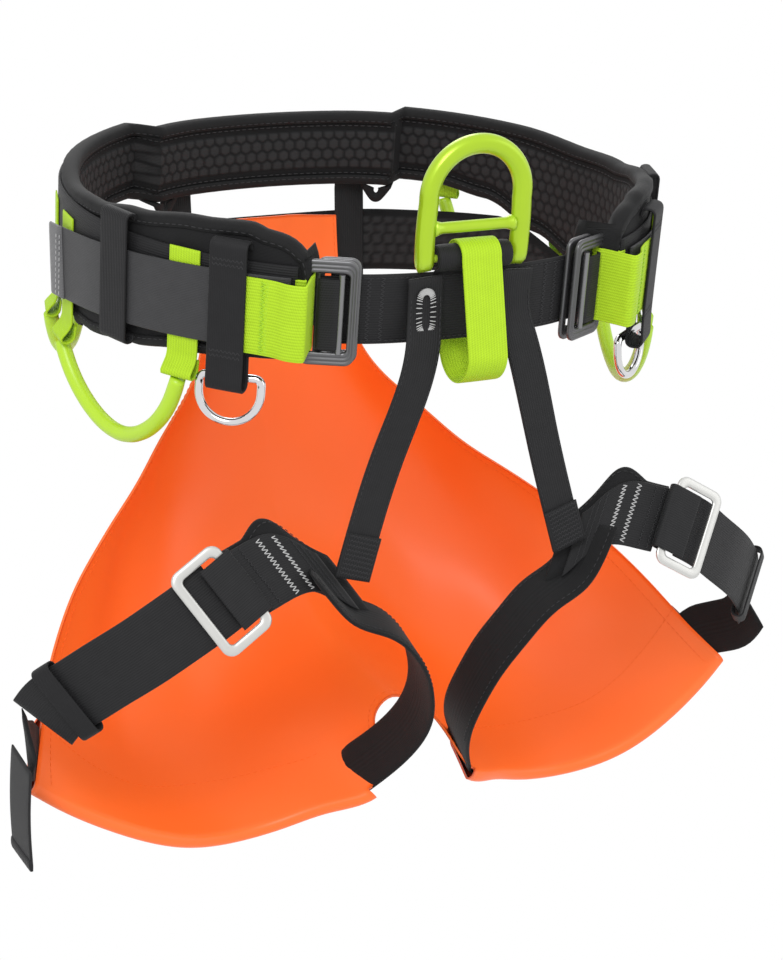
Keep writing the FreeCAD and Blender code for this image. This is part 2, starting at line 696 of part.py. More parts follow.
def hem_line(grid, back, out):
    """Points inside the hem: a distance behind the fold and a distance outside the sheet."""
    centres = []
    across = []
    outward = []
    for j in range(HEM_COLUMNS[0], HEM_COLUMNS[1] + 1):
        fold = grid[-1][j]
        inward = unit(grid[-4][j] - fold)
        normal = -grid_normal(grid, len(grid) - 2, j)
        centres.append(fold + inward * back + normal * out)
        across.append(inward)
        outward.append(normal)
    return centres, across, outward


def make_leg_band(grid):
    centre = vec(THIGH_CENTRE)
    axis = unit(vec(THIGH_AXIS))
    hem, hem_across, hem_out = hem_line(grid, HEM_BAND_BACK, SEAT_T / 2 + 0.6)
    free = smooth_line([vec(p) for p in LEG_BAND_START] + [hem[0]]).discretize(Number=18)[:-1]
    last = [vec(p) for p in LEG_BAND_END]
    centres = free + hem + last
    turn = [i / (len(free) - 1) for i in range(len(free))]
    across = [unit(axis * (1 - t ** 3) + hem_across[0] * t ** 3) for t in turn]
    across += hem_across + [unit(hem_across[-1] + axis), axis]
    outward = [p - centre for p in free] + hem_out + [p - centre for p in last]
    return ribbon(centres, across, LEG_BAND_W, LEG_BAND_T, outward)


def strap_points(points, count):
    return smooth_line([vec(p) for p in points]).discretize(Number=count)


def leg_webbing(points, thick, count):
    line = strap_points(points, count)
    centre = vec(THIGH_CENTRE)
    return ribbon(line, [unit(vec(LEG_WIDTH_DIR))] * count, WEB_WIDE, thick, [p - centre for p in line])


def place_matrix(run, out, wide, at):
    return FreeCAD.Matrix(run.x, out.x, wide.x, at.x, run.y, out.y, wide.y, at.y,
                          run.z, out.z, wide.z, at.z, 0, 0, 0, 1)


def strap_frame(run, at, away):
    """Axes at a place on the leg strap: X along it, Y outwards, Z across it."""
    wide = unit(vec(LEG_WIDTH_DIR))
    along = unit(run)
    wide = unit(wide - along * wide.dot(along))
    out = unit(wide.cross(along))
    if out.dot(away) < 0:
        along = -along
        out = -out
    return place_matrix(along, out, wide, at)


def leg_buckle_matrix():
    wide = unit(vec(LEG_WIDTH_DIR))
    run = unit(vec(LEG_BUCKLE_RUN))
    run = unit(run - wide * run.dot(wide))
    out = unit(wide.cross(run))
    if out.y > 0:
        out = -out
    return place_matrix(run, out, wide, vec(LEG_BUCKLE_AT))


def make_leg_buckle():
    inner_w = LEG_BUCKLE_W - 2 * LEG_BUCKLE_RIM
    inner_h = LEG_BUCKLE_H - 2 * LEG_BUCKLE_RIM
    plate = rounded_plate(LEG_BUCKLE_W, LEG_BUCKLE_H, 7.0, LEG_BUCKLE_T)
    frame = plate.cut(rounded_plate(inner_w, inner_h, 2.0, LEG_BUCKLE_T * 3))
    gap = LEG_BUCKLE_T / 2 + 0.1
    near = -LEG_BUCKLE_W / 2
    skin = 1.8
    over = Part.makeBox(LEG_BUCKLE_RIM + 16, skin, inner_h - 4, V(near - 3, gap, -inner_h / 2 + 2))
    under = Part.makeBox(7.0, skin, inner_h - 4, V(near - 3, -gap - skin, -inner_h / 2 + 2))
    end = Part.makeBox(skin, 2 * (gap + skin), inner_h - 4, V(near - 3, -gap - skin, -inner_h / 2 + 2))
    wrap = over.fuse([under, end]).removeSplitter()
    matrix = leg_buckle_matrix()
    return {"leg_buckle": frame.transformed(matrix), "leg_buckle_wrap": one_solid(wrap).transformed(matrix)}


def make_leg_keeper():
    """Flat loop that slides along the leg strap."""
    line = strap_points(LEG_STRAP, 13)
    k = LEG_KEEPER_POINT
    long = LEG_KEEPER_LONG
    outer = Part.makeBox(long, 8.4, 51.0, V(-long / 2, -2.2, -25.5))
    inner = Part.makeBox(long * 2, 5.4, 48.0, V(-long, -0.7, -24.0))
    run = line[k + 1] - line[k - 1]
    away = line[k] - vec(THIGH_CENTRE)
    return outer.cut(inner).transformed(strap_frame(run, line[k] - unit(away), away))


def make_leg_tails(grid):
    """Free ends of the leg straps: one tucked under the seat, one hanging."""
    hem, across, outward = hem_line(grid, HEM_BAND_BACK, SEAT_T / 2 + HEM_GAP + HEM_T + 2.4)
    left = ribbon(hem[-5:], across[-5:], WEB_WIDE - 5, 1.8, outward[-5:])
    points = [vec(p) for p in LEG_TAIL_RIGHT]
    right = ribbon(points, [V(0, 1, 0)] * len(points), LEG_TAIL_W, 1.8, [V(-1, 0, 0)] * len(points))
    return {"leg_tail_left": left, "leg_tail_right": right}


# ---------------------------------------------------------------- seat

def smooth_line(points):
    curve = Part.BSplineCurve()
    curve.interpolate(points)
    return curve


def seat_grid():
    """Points of the seat's middle surface: rows from the top edge to the front fold."""
    rows = []
    for half in SEAT_ROWS:
        left = [vec(p) for p in half]
        right = [V(-p.x, p.y, p.z) for p in reversed(left[1:])]
        rows.append(smooth_line(right + left).discretize(Number=SEAT_COLUMNS))
    columns = [smooth_line(list(column)).discretize(Number=SEAT_LINES) for column in zip(*rows)]
    return [list(row) for row in zip(*columns)]


def grid_normal(grid, i, j):
    down = grid[min(i + 1, len(grid) - 1)][j] - grid[max(i - 1, 0)][j]
    across = grid[i][min(j + 1, len(grid[i]) - 1)] - grid[i][max(j - 1, 0)]
    return unit(down.cross(across))


def sheet_solid(grid, distances):
    """A closed thin solid; distances gives two offsets from the middle surface for each row."""
    lines = ([], [])
    for i, row in enumerate(grid):
        for skin in (0, 1):
            lines[skin].append([p + grid_normal(grid, i, j) * distances(i)[skin] for j, p in enumerate(row)])
    edges = [[smooth_line(row).toShape() for row in skin] for skin in lines]
    faces = []
    for skin in edges:
        faces += [Part.makeRuledSurface(a, b) for a, b in zip(skin, skin[1:])]
    for end in (0, -1):
        faces.append(Part.makeRuledSurface(edges[0][end], edges[1][end]))
        for i in range(len(grid) - 1):
            sides = [Part.makeLine(skin[i][end], skin[i + 1][end]) for skin in lines]
            faces.append(Part.makeRuledSurface(*sides))
    shell = Part.makeCompound(faces)
    shell.sewShape(1e-4)
    return Part.makeSolid(Part.makeShell(shell.Faces))


def make_seat(grid):
    return sheet_solid(grid, lambda i: (-SEAT_T / 2, SEAT_T / 2))


def make_hem(grid):
    """The part of the sheet that is folded under and holds the leg band."""
    part = [row[HEM_COLUMNS[0]:HEM_COLUMNS[1] + 1] for row in grid[-5:]]
    near = SEAT_T / 2 + HEM_GAP

    def gap(i):
        top = SEAT_T / 2 + 0.2 if i == 0 else near
        return (-top - HEM_T, -top)

    return sheet_solid(part, gap)


# ---------------------------------------------------------------- assembly

def both_sides(pieces, name, shape):
    pieces[name + "_left"] = shape
    pieces[name + "_right"] = mirror(shape)


def make_all():
    grid = seat_grid()
    pieces = make_belt()
    both_sides(pieces, "strap_tail", tilt(strap_tail()))
    both_sides(pieces, "side_tab", tilt(side_tab()))
    both_sides(pieces, "rear_keeper", tilt(rear_keeper()))
    both_sides(pieces, "front_keeper", tilt(front_keeper()))
    both_sides(pieces, "gear_tabs", tilt(gear_tabs()))
    pieces["haul_tabs"] = tilt(haul_tabs())
    both_sides(pieces, "suspender_anchor", suspender_anchor())
    for name, shape in make_waist_buckle().items():
        both_sides(pieces, name, shape)
    pieces.update(make_tie_in())
    pieces["belay_loop"] = make_belay_loop()
    both_sides(pieces, "side_ring", make_side_ring())
    both_sides(pieces, "gear_loop_front", gear_loop(GEAR_FRONT))
    both_sides(pieces, "gear_loop_rear", gear_loop(GEAR_REAR))
    both_sides(pieces, "riser", make_riser())
    both_sides(pieces, "suspender", make_suspender())
    pieces["back_band"] = make_back_band()
    pieces["side_bands"] = make_side_bands()
    both_sides(pieces, "leg_band", make_leg_band(grid))
    both_sides(pieces, "leg_front_webbing", leg_webbing(LEG_FRONT, WEB_THICK, 7))
    both_sides(pieces, "leg_strap", leg_webbing(LEG_STRAP, WEB_THICK, 13))
    for name, shape in make_leg_buckle().items():
        both_sides(pieces, name, shape)
    both_sides(pieces, "leg_keeper", make_leg_keeper())
    pieces.update(make_leg_tails(grid))
    pieces["protective_seat"] = make_seat(grid)
    both_sides(pieces, "seat_hem", make_hem(grid))
    return pieces


def main():
    os.makedirs("parts", exist_ok=True)
    for name, shape in make_all().items():
        solid = one_solid(shape)
        print(name, "valid" if solid.isValid() else "INVALID", len(solid.Solids), round(solid.Volume, 1))
        solid.exportStep("parts/" + name + ".step")


main()
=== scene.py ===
import math

import bpy
import numpy as np
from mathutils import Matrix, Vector


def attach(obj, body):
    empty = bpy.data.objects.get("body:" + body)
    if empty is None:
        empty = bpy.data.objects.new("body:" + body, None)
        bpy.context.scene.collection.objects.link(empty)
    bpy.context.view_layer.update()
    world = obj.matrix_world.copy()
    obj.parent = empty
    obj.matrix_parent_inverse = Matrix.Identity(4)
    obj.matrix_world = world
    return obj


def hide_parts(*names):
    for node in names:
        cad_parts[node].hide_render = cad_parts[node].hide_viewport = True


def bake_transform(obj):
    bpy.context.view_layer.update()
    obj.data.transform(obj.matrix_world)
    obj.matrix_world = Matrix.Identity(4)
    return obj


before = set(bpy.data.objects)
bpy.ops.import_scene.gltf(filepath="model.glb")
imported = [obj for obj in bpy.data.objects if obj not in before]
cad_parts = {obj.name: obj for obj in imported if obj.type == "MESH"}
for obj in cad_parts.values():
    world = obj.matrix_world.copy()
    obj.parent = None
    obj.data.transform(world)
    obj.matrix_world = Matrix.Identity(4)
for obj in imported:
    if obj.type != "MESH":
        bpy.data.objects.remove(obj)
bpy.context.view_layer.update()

# Lengths in this script are millimetres in the harness's own frame unless a name says otherwise:
# +Z up, the wearer faces -Y, +X is the wearer's left. MM turns them into Blender's metres.
MM = 0.001
UP = np.array([0.0, 0.0, 1.0])

# ------------------------------------------------------------------ camera and lights

VIEW_TARGET = (23.0, 0.0, -207.0)
VIEW_AZIMUTH = -26.5
VIEW_ELEVATION = 16.0
VIEW_DISTANCE = 1500.0
FOCAL_LENGTH = 84.375


def view_back():
    azimuth = math.radians(VIEW_AZIMUTH)
    elevation = math.radians(VIEW_ELEVATION)
    flat = math.cos(elevation)
    return Vector((math.sin(azimuth) * flat, -math.cos(azimuth) * flat, math.sin(elevation)))


def make_camera():
    data = bpy.data.cameras.new("camera")
    data.lens = FOCAL_LENGTH
    data.clip_end = 20.0
    camera = bpy.data.objects.new("camera", data)
    bpy.context.scene.collection.objects.link(camera)
    camera.location = (Vector(VIEW_TARGET) + view_back() * VIEW_DISTANCE) * MM
    camera.rotation_euler = view_back().to_track_quat("Z", "Y").to_euler()
    bpy.context.scene.camera = camera


def area_light(name, place, aim, size, power):
    data = bpy.data.lights.new(name, "AREA")
    data.size = size
    data.energy = power
    light = bpy.data.objects.new(name, data)
    bpy.context.scene.collection.objects.link(light)
    light.location = place
    light.rotation_euler = (Vector(place) - Vector(aim)).to_track_quat("Z", "Y").to_euler()


def make_studio():
    world = bpy.data.worlds.new("studio")
    bpy.context.scene.world = world
    world.use_nodes = True
    world.node_tree.nodes["Background"].inputs["Color"].default_value = (1, 1, 1, 1)
    world.node_tree.nodes["Background"].inputs["Strength"].default_value = 1.0
    middle = (0, 0, -0.2)
    area_light("key", (-1.2, -1.9, 1.5), middle, 1.1, 34)
    area_light("fill", (1.9, -1.3, 0.5), middle, 1.4, 6)
    area_light("rim", (0.5, 1.8, 1.3), middle, 1.0, 10)
    bpy.context.scene.view_settings.view_transform = "Standard"


# ------------------------------------------------------------------ materials

def node(tree, kind, **inputs):
    made = tree.nodes.new(kind)
    for key, value in inputs.items():
        setattr(made, key, value)
    return made


def math_node(tree, operation, a, b=None, c=None):
    made = node(tree, "ShaderNodeMath", operation=operation)
    for socket, value in zip(made.inputs, (a, b, c)):
        if value is None:
            continue
        if isinstance(value, (int, float)):
            socket.default_value = value
        else:
            tree.links.new(value, socket)
    return made.outputs[0]


def plain_material(name, colour, roughness):
    material = bpy.data.materials.new(name)
    material.use_nodes = True
    shader = material.node_tree.nodes["Principled BSDF"]
    shader.inputs["Base Color"].default_value = (*colour, 1)
    shader.inputs["Roughness"].default_value = roughness
    return material


def base_material(name, colour, roughness, metallic=0.0, sheen=0.0, coat=0.0):
    """A principled material, its tree, its shader and the socket for millimetre coordinates."""
    material = plain_material(name, colour, roughness)
    tree = material.node_tree
    shader = tree.nodes["Principled BSDF"]
    shader.inputs["Metallic"].default_value = metallic
    shader.inputs["Sheen Weight"].default_value = sheen
    shader.inputs["Sheen Roughness"].default_value = 0.4
    shader.inputs["Coat Weight"].default_value = coat
    shader.inputs["Coat Roughness"].default_value = 0.2
    coordinates = node(tree, "ShaderNodeTexCoord")
    return material, tree, shader, coordinates


def mix_colour(tree, factor, dark, light):
    ramp = node(tree, "ShaderNodeValToRGB")
    ramp.color_ramp.elements[0].color = (*dark, 1)
    ramp.color_ramp.elements[1].color = (*light, 1)
    tree.links.new(factor, ramp.inputs[0])
    return ramp.outputs[0]


def noise(tree, vector, scale, detail=3.0):
    made = node(tree, "ShaderNodeTexNoise")
    made.inputs["Scale"].default_value = scale
    made.inputs["Detail"].default_value = detail
    tree.links.new(vector, made.inputs["Vector"])
    return made.outputs["Fac"]


def add_bump(tree, shader, height, strength, distance_mm):
    bump = node(tree, "ShaderNodeBump")
    bump.inputs["Strength"].default_value = strength
    bump.inputs["Distance"].default_value = distance_mm * MM
    tree.links.new(height, bump.inputs["Height"])
    tree.links.new(bump.outputs[0], shader.inputs["Normal"])


def waves(tree, value, period):
    """A sine from 0 to 1 with a period in the value's own unit."""
    phase = math_node(tree, "MULTIPLY", value, 2 * math.pi / period)
    sine = math_node(tree, "SINE", phase)
    return math_node(tree, "MULTIPLY_ADD", sine, 0.5, 0.5)


def woven_material(name, colour, warp=1.5, weft=0.9, depth=0.22, roughness=0.62, contrast=0.35, sheen=0.04,
                   shine=0.22,
                   raised=None):
    """Webbing or woven cloth: ribs along the piece, finer threads across, a little unevenness."""
    material, tree, shader, coordinates = base_material(name, colour, roughness, sheen=sheen)
    shader.inputs["Specular IOR Level"].default_value = shine
    split = node(tree, "ShaderNodeSeparateXYZ")
    tree.links.new(coordinates.outputs["UV"], split.inputs[0])
    across = waves(tree, split.outputs["X"], warp)
    row = math_node(tree, "MULTIPLY", split.outputs["X"], math.pi / warp)
    shifted = math_node(tree, "ADD", math_node(tree, "MULTIPLY", split.outputs["Y"], 2 * math.pi / weft),
                        row)
    along = math_node(tree, "MULTIPLY_ADD", math_node(tree, "SINE", shifted), 0.5, 0.5)
    threads = math_node(tree, "ADD", math_node(tree, "MULTIPLY", across, 0.65),
                        math_node(tree, "MULTIPLY", along, 0.35))
    uneven = noise(tree, coordinates.outputs["UV"], 0.12, 4.0)
    height = math_node(tree, "MULTIPLY_ADD", uneven, 0.25, threads)
    dark = tuple(c * (1 - contrast) for c in colour)
    light = tuple(min(c * (1 + contrast) + 0.004, 1.0) for c in colour)
    tone = math_node(tree, "MULTIPLY_ADD", threads, 0.6, math_node(tree, "MULTIPLY", uneven, 0.4))
    cloth = mix_colour(tree, tone, dark, light)
    if raised is not None:
        relief = node(tree, "ShaderNodeAttribute", attribute_name="relief")
        mixed = node(tree, "ShaderNodeMix", data_type="RGBA")
        tree.links.new(relief.outputs["Fac"], mixed.inputs["Factor"])
        tree.links.new(cloth, mixed.inputs["A"])
        mixed.inputs["B"].default_value = (*raised, 1)
        cloth = mixed.outputs["Result"]
    tree.links.new(cloth, shader.inputs["Base Color"])
    add_bump(tree, shader, height, 0.9, depth)
    return material


def coated_material(name, front, back):
    """Smooth coated fabric with a faint grain and soft creases; the folded inside gets painted shade, a
    darker colour for the shade that falls in the fold.
    """
    material, tree, shader, coordinates = base_material(name, front, 0.42, coat=0.04)
    fine = noise(tree, coordinates.outputs["Object"], 900.0, 4.0)
    broad = noise(tree, coordinates.outputs["Object"], 7.0, 3.0)
    tint = mix_colour(tree, broad, tuple(c * 0.93 for c in front), tuple(min(c * 1.05, 1) for c in front))
    # Painted shade: where the 'inside' attribute is set, the base colour turns to the dark back colour,
    # which stands in for shade inside the hem's fold.
    side = node(tree, "ShaderNodeAttribute", attribute_name="inside")
    mixed = node(tree, "ShaderNodeMix", data_type="RGBA")
    tree.links.new(side.outputs["Fac"], mixed.inputs["Factor"])
    tree.links.new(tint, mixed.inputs["A"])
    mixed.inputs["B"].default_value = (*back, 1)
    tree.links.new(mixed.outputs["Result"], shader.inputs["Base Color"])
    height = math_node(tree, "ADD", math_node(tree, "MULTIPLY", fine, 0.12), broad)
    add_bump(tree, shader, height, 0.35, 0.5)
    rough = math_node(tree, "MULTIPLY_ADD", fine, 0.12, 0.38)
    tree.links.new(rough, shader.inputs["Roughness"])
    return material


def metal_material(name, colour, roughness, grain=0.08, metallic=1.0, coat=0.0, edge_wear=0.0):
    material, tree, shader, coordinates = base_material(name, colour, roughness, metallic=metallic,
                                                        coat=coat)
    fine = noise(tree, coordinates.outputs["Object"], 1400.0, 2.0)
    broad = noise(tree, coordinates.outputs["Object"], 60.0, 3.0)
    rough = math_node(tree, "MULTIPLY_ADD", broad, grain * 2, roughness - grain)
    tree.links.new(rough, shader.inputs["Roughness"])
    dark = tuple(c * 0.9 for c in colour)
    tint = mix_colour(tree, broad, dark, colour)
    if edge_wear > 0:
        point = node(tree, "ShaderNodeNewGeometry").outputs["Pointiness"]
        worn = math_node(tree, "MULTIPLY", math_node(tree, "SUBTRACT", point, 0.52), 10.0)
        worn.node.use_clamp = True
        mixed = node(tree, "ShaderNodeMix", data_type="RGBA")
        tree.links.new(math_node(tree, "MULTIPLY", worn, edge_wear), mixed.inputs["Factor"])
        tree.links.new(tint, mixed.inputs["A"])
        mixed.inputs["B"].default_value = (*(min(c * 1.5 + 0.12, 1) for c in colour), 1)
        tint = mixed.outputs["Result"]
    tree.links.new(tint, shader.inputs["Base Color"])
    add_bump(tree, shader, fine, 0.15, 0.05)
    return material


BLACK = (0.0105, 0.0105, 0.0115)
LIME_CLOTH = (0.37, 0.58, 0.014)
LIME_METAL = (0.38, 0.58, 0.008)
LIME_TUBE = (0.42, 0.66, 0.015)

MATERIALS = {
    "webbing": woven_material("webbing_black", BLACK),
    "fine_webbing": woven_material("webbing_fine", (0.0085, 0.0085, 0.0095), warp=1.1, weft=0.7,
                                   depth=0.15),
    "tail": woven_material("webbing_grey", (0.034, 0.034, 0.036), warp=1.0, weft=0.6, depth=0.12,
                           roughness=0.45),
    "tail_end": woven_material("webbing_end", (0.12, 0.12, 0.124), warp=1.0, weft=0.6, depth=0.12,
                               roughness=0.4),
    "lime_webbing": woven_material("webbing_lime", LIME_CLOTH, warp=1.8, weft=1.3, depth=0.3,
                                   contrast=0.16),
    "cover": woven_material("belt_cover_cloth", (0.0065, 0.0065, 0.0072), warp=0.8, weft=0.8, depth=0.15,
                            roughness=0.8),
    "lining": woven_material("lining_mesh", (0.004, 0.004, 0.0045), warp=1.0, weft=1.0, depth=0.25,
                             roughness=0.85,
                             raised=(0.024, 0.024, 0.025)),
    "tape": woven_material("edge_tape", (0.0055, 0.0055, 0.006), warp=0.7, weft=1.2, depth=0.15,
                           roughness=0.7),
    # The orange sheet's second colour is painted shade for the inside of the folded hem, not a second
    # fabric colour.
    "orange": coated_material("orange_sheet", (1.0, 0.146, 0.012), (0.34, 0.026, 0.006)),
    "lime_metal": metal_material("lime_anodised", LIME_METAL, 0.34, grain=0.05, metallic=0.35, coat=0.3,
                                 edge_wear=0.25),
    "lime_tube": metal_material("lime_tube", LIME_TUBE, 0.4, metallic=0.0, coat=0.15),
    "steel": metal_material("polished_steel", (0.72, 0.72, 0.73), 0.14, grain=0.04),
    "dark_metal": metal_material("dark_alloy", (0.13, 0.13, 0.135), 0.38, metallic=0.85, edge_wear=0.5),
    "satin_metal": metal_material("satin_aluminium", (0.62, 0.62, 0.60), 0.40, grain=0.06, metallic=0.85,
                                  edge_wear=0.2),
    "thread": woven_material("thread_grey", (0.42, 0.42, 0.42), warp=0.5, weft=0.5, depth=0.05,
                             contrast=0.1),
    "black_thread": woven_material("thread_black", (0.03, 0.03, 0.032), warp=0.5, weft=0.5, depth=0.05,
                                   contrast=0.1),
    "lime_thread": woven_material("thread_lime", (0.36, 0.60, 0.03), warp=0.5, weft=0.5, depth=0.05,
                                  contrast=0.1),
    "orange_thread": woven_material("thread_orange", (0.95, 0.140, 0.014), warp=0.5, weft=0.5, depth=0.05,
                                    contrast=0.1),
}

# ------------------------------------------------------------------ vectors and smooth lines

def arr(points):
    return np.array(points, float)


def unit(vectors):
    vectors = arr(vectors)
    return vectors / np.maximum(np.linalg.norm(vectors, axis=-1, keepdims=True), 1e-9)


def reject(vectors, along):
    """The part of each vector that is square to the other, as a unit vector."""
    vectors = np.broadcast_to(arr(vectors), along.shape)
    return unit(vectors - along * (vectors * along).sum(-1, keepdims=True))


def mirror(points):
    return arr(points) * arr([-1, 1, 1])


def spline(points, count):
    """Points at even steps on a natural cubic curve through the given ones."""
    p = arr(points)
    gaps = np.maximum(np.linalg.norm(np.diff(p, axis=0), axis=1), 1e-6)
    t = np.concatenate([[0], np.cumsum(gaps)])
    n = len(p)
    matrix = np.eye(n)
    rhs = np.zeros_like(p)
    for i in range(1, n - 1):
        matrix[i, i - 1:i + 2] = gaps[i - 1], 2 * (gaps[i - 1] + gaps[i]), gaps[i]
        rhs[i] = 6 * ((p[i + 1] - p[i]) / gaps[i] - (p[i] - p[i - 1]) / gaps[i - 1])
    bend = np.linalg.solve(matrix, rhs)
    fine = np.linspace(0, t[-1], count * 6)
    k = np.clip(np.searchsorted(t, fine, side="right") - 1, 0, n - 2)
    h = gaps[k][:, None]
    a = (t[k + 1] - fine)[:, None]
    b = (fine - t[k])[:, None]
    curve = (bend[k] * a ** 3 + bend[k + 1] * b ** 3) / (6 * h)
    curve += (p[k] / h - bend[k] * h / 6) * a + (p[k + 1] / h - bend[k + 1] * h / 6) * b
    return even_steps(curve, count)


def even_steps(line, count):
    length = lengths(line)
    want = np.linspace(0, length[-1], count)
    return np.stack([np.interp(want, length, line[:, k]) for k in range(line.shape[1])], 1)


def lengths(line):
    return np.concatenate([[0], np.cumsum(np.linalg.norm(np.diff(line, axis=0), axis=1))])


def directions(line):
    return unit(np.gradient(line, axis=0))


def table_value(table, x):
    """Smooth steps through a table of (x, value) pairs."""
    table = arr(table)
    k = np.clip(np.searchsorted(table[:, 0], x, side="right") - 1, 0, len(table) - 2)
    t = np.clip((x - table[k, 0]) / (table[k + 1, 0] - table[k, 0]), 0, 1)
    return table[k, 1] + (table[k + 1, 1] - table[k, 1]) * t * t * (3 - 2 * t)


# ------------------------------------------------------------------ meshes

def new_piece(name, verts, faces, material, body, uvs=None, smooth=True, slot=None):
    """A mesh from millimetre points that rides on a CAD body."""
    mesh = bpy.data.meshes.new(name)
    mesh.from_pydata((arr(verts) * MM).tolist(), [], [list(f) for f in faces])
    mesh.materials.append(MATERIALS[material])
    if uvs is not None:
        layer = mesh.uv_layers.new(name="UVMap")
        layer.data.foreach_set("uv", arr(uvs).reshape(-1))
    mesh.polygons.foreach_set("use_smooth", [smooth] * len(mesh.polygons))
    mesh.update()
    made = bpy.data.objects.new(name, mesh)
    bpy.context.scene.collection.objects.link(made)
    if body:
        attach(made, body)
    return made


def grid_faces(rows, columns, wrap_rows=False, wrap_columns=False):
    faces = []
    corners = []
    for i in range(rows if wrap_rows else rows - 1):
        for j in range(columns if wrap_columns else columns - 1):
            i1 = (i + 1) % rows
            j1 = (j + 1) % columns
            faces.append((i * columns + j, i * columns + j1, i1 * columns + j1, i1 * columns + j))
            corners.append(((i, j), (i, j + 1), (i + 1, j + 1), (i + 1, j)))
    return faces, corners


def grid_piece(name, grid, uv, material, body, wrap_rows=False, wrap_columns=False, caps=False, **extra):
    """A piece from a grid of points. uv has one more row or column where the grid wraps."""
    rows, columns = grid.shape[:2]
    faces, corners = grid_faces(rows, columns, wrap_rows, wrap_columns)
    loops = [uv[i, j] for face in corners for i, j in face]
    if caps:
        for row, order in ((0, range(columns - 1, -1, -1)), (rows - 1, range(columns))):
            faces.append([row * columns + j for j in order])
            loops += [uv[row, j] for j in order]
    return new_piece(name, grid.reshape(-1, 3), faces, material, body, loops, **extra)


def flat_section(width, thick, crown=0.12, across_points=9):
    """Rounded outline of webbing as (across, out, u) with out from 0 to the thickness."""
    half = width / 2
    round_r = thick / 2
    points = []
    xs = np.linspace(-half + round_r, half - round_r, across_points)
    for x in xs:
        points.append((x, thick + crown * (1 - (x / half) ** 2)))
    for a in (60, 0, -60):
        points.append((half - round_r + round_r * math.cos(math.radians(a)),
                       round_r + round_r * math.sin(math.radians(a))))
    for x in xs[::-1]:
        points.append((x, -crown * (1 - (x / half) ** 2)))
    for a in (240, 180, 120):
        points.append((-half + round_r + round_r * math.cos(math.radians(a)),
                       round_r + round_r * math.sin(math.radians(a))))
    return arr(points)


def webbing(name, centres, across, out, width, thick, material, body, step=3.0, closed=False, ripple=0.15,
            seed=0, slanted=False,
            **extra):
    """A strap along a line on its inner face. A slanted one keeps its width direction."""
    centres = arr(centres)
    across = np.broadcast_to(arr(across), centres.shape)
    out = np.broadcast_to(arr(out), centres.shape)
    count = max(int(lengths(centres)[-1] / step), 4)
    if closed:
        line = centres
        side_way, out_way = across, out
    else:
        stack = np.concatenate([centres, across * 10, out * 10], 1)
        want = np.linspace(0, lengths(centres)[-1], count)
        stack = np.stack([np.interp(want, lengths(centres), stack[:, k]) for k in range(9)], 1)
        line, side_way, out_way = stack[:, :3], stack[:, 3:6], stack[:, 6:]
    ahead = directions(line)
    side = unit(side_way) if slanted else reject(side_way, ahead)
    normal = unit(np.cross(ahead, side))
    flip = np.sign((normal * out_way).sum(1, keepdims=True))
    normal = normal * np.where(flip == 0, 1, flip)
    section = flat_section(width, thick)
    t = lengths(line)
    sway = ripple * np.sin(t / 17.0 + seed * 1.7) * np.sin(t / 41.0 + seed)
    grid = (line[:, None] + side[:, None] * section[None, :, :1]
            + normal[:, None] * (section[None, :, 1:2] + sway[:, None, None] * (0.0 if closed else 1.0)))
    if not closed:
        for i in (0, -1):
            middle = line[i] + normal[i] * thick / 2
            flat = ((grid[i] - middle) * normal[i]).sum(-1, keepdims=True)
            grid[i] -= normal[i] * flat * 0.35
    u = np.concatenate([section[:, 0], section[:1, 0]])
    v = np.concatenate([t, [t[-1] + 1]]) if closed else t
    uv = np.stack(np.broadcast_arrays(u[None, :] + 100, v[:, None]), -1)
    return grid_piece(name, grid, uv, material, body, wrap_rows=closed, wrap_columns=True, caps=not closed,
                      **extra)


def tube(name, line, radius, material, body, sides=14, caps=True, closed=False, **extra):
    line = arr(line)
    radius = np.broadcast_to(arr(radius), (len(line),))
    if closed:
        ahead = unit(np.roll(line, -1, 0) - np.roll(line, 1, 0))
    else:
        ahead = directions(line)
    start = UP if abs(ahead[0][2]) < 0.9 else arr([1, 0, 0])
    side = [unit(start - ahead[0] * (start @ ahead[0]))]
    for a in ahead[1:]:
        s = side[-1] - a * (side[-1] @ a)
        side.append(unit(s))
    side = arr(side)
    other = np.cross(ahead, side)
    angle = np.linspace(0, 2 * math.pi, sides, endpoint=False)
    ring = np.cos(angle)[None, :, None] * side[:, None] + np.sin(angle)[None, :, None] * other[:, None]
    grid = line[:, None] + ring * radius[:, None, None]
    t = lengths(line)
    v = np.concatenate([t, [t[-1] + 1]]) if closed else t
    u = np.linspace(0, 2 * math.pi * radius.mean(), sides + 1)
    uv = np.stack(np.broadcast_arrays(u[None, :], v[:, None]), -1)
    return grid_piece(name, grid, uv, material, body, wrap_rows=closed, wrap_columns=True,
                      caps=caps and not closed, **extra)


def stitches(name, segments, radius, material, body, **extra):
    """Thread segments, each a small rounded bar from a to b, in one mesh."""
    verts = []
    faces = []
    shape = [(-0.5, 0.25), (-0.36, 0.9), (0.0, 1.0), (0.36, 0.9), (0.5, 0.25)]
    sides = 5
    for a, b in segments:
        a, b = arr(a), arr(b)
        along = b - a
        way = unit(along)
        start = UP if abs(way[2]) < 0.8 else arr([1.0, 0, 0])
        s = unit(np.cross(way, start))
        o = np.cross(way, s)
        base = len(verts)
        for t, r in shape:
            for k in range(sides):
                angle = 2 * math.pi * k / sides
                outward = s * math.cos(angle) + o * math.sin(angle)
                verts.append((a + b) / 2 + along * t + outward * radius * r)
        for i in range(len(shape) - 1):
            for k in range(sides):
                k1 = (k + 1) % sides
                faces.append((base + i * sides + k, base + i * sides + k1, base + (i + 1) * sides + k1,
                              base + (i + 1) * sides + k))
        faces.append([base + k for k in range(sides - 1, -1, -1)])
        faces.append([base + (len(shape) - 1) * sides + k for k in range(sides)])
    uvs = [(verts[i][0] + verts[i][1], verts[i][2]) for f in faces for i in f]
    return new_piece(name, verts, faces, material, body, uvs, **extra)


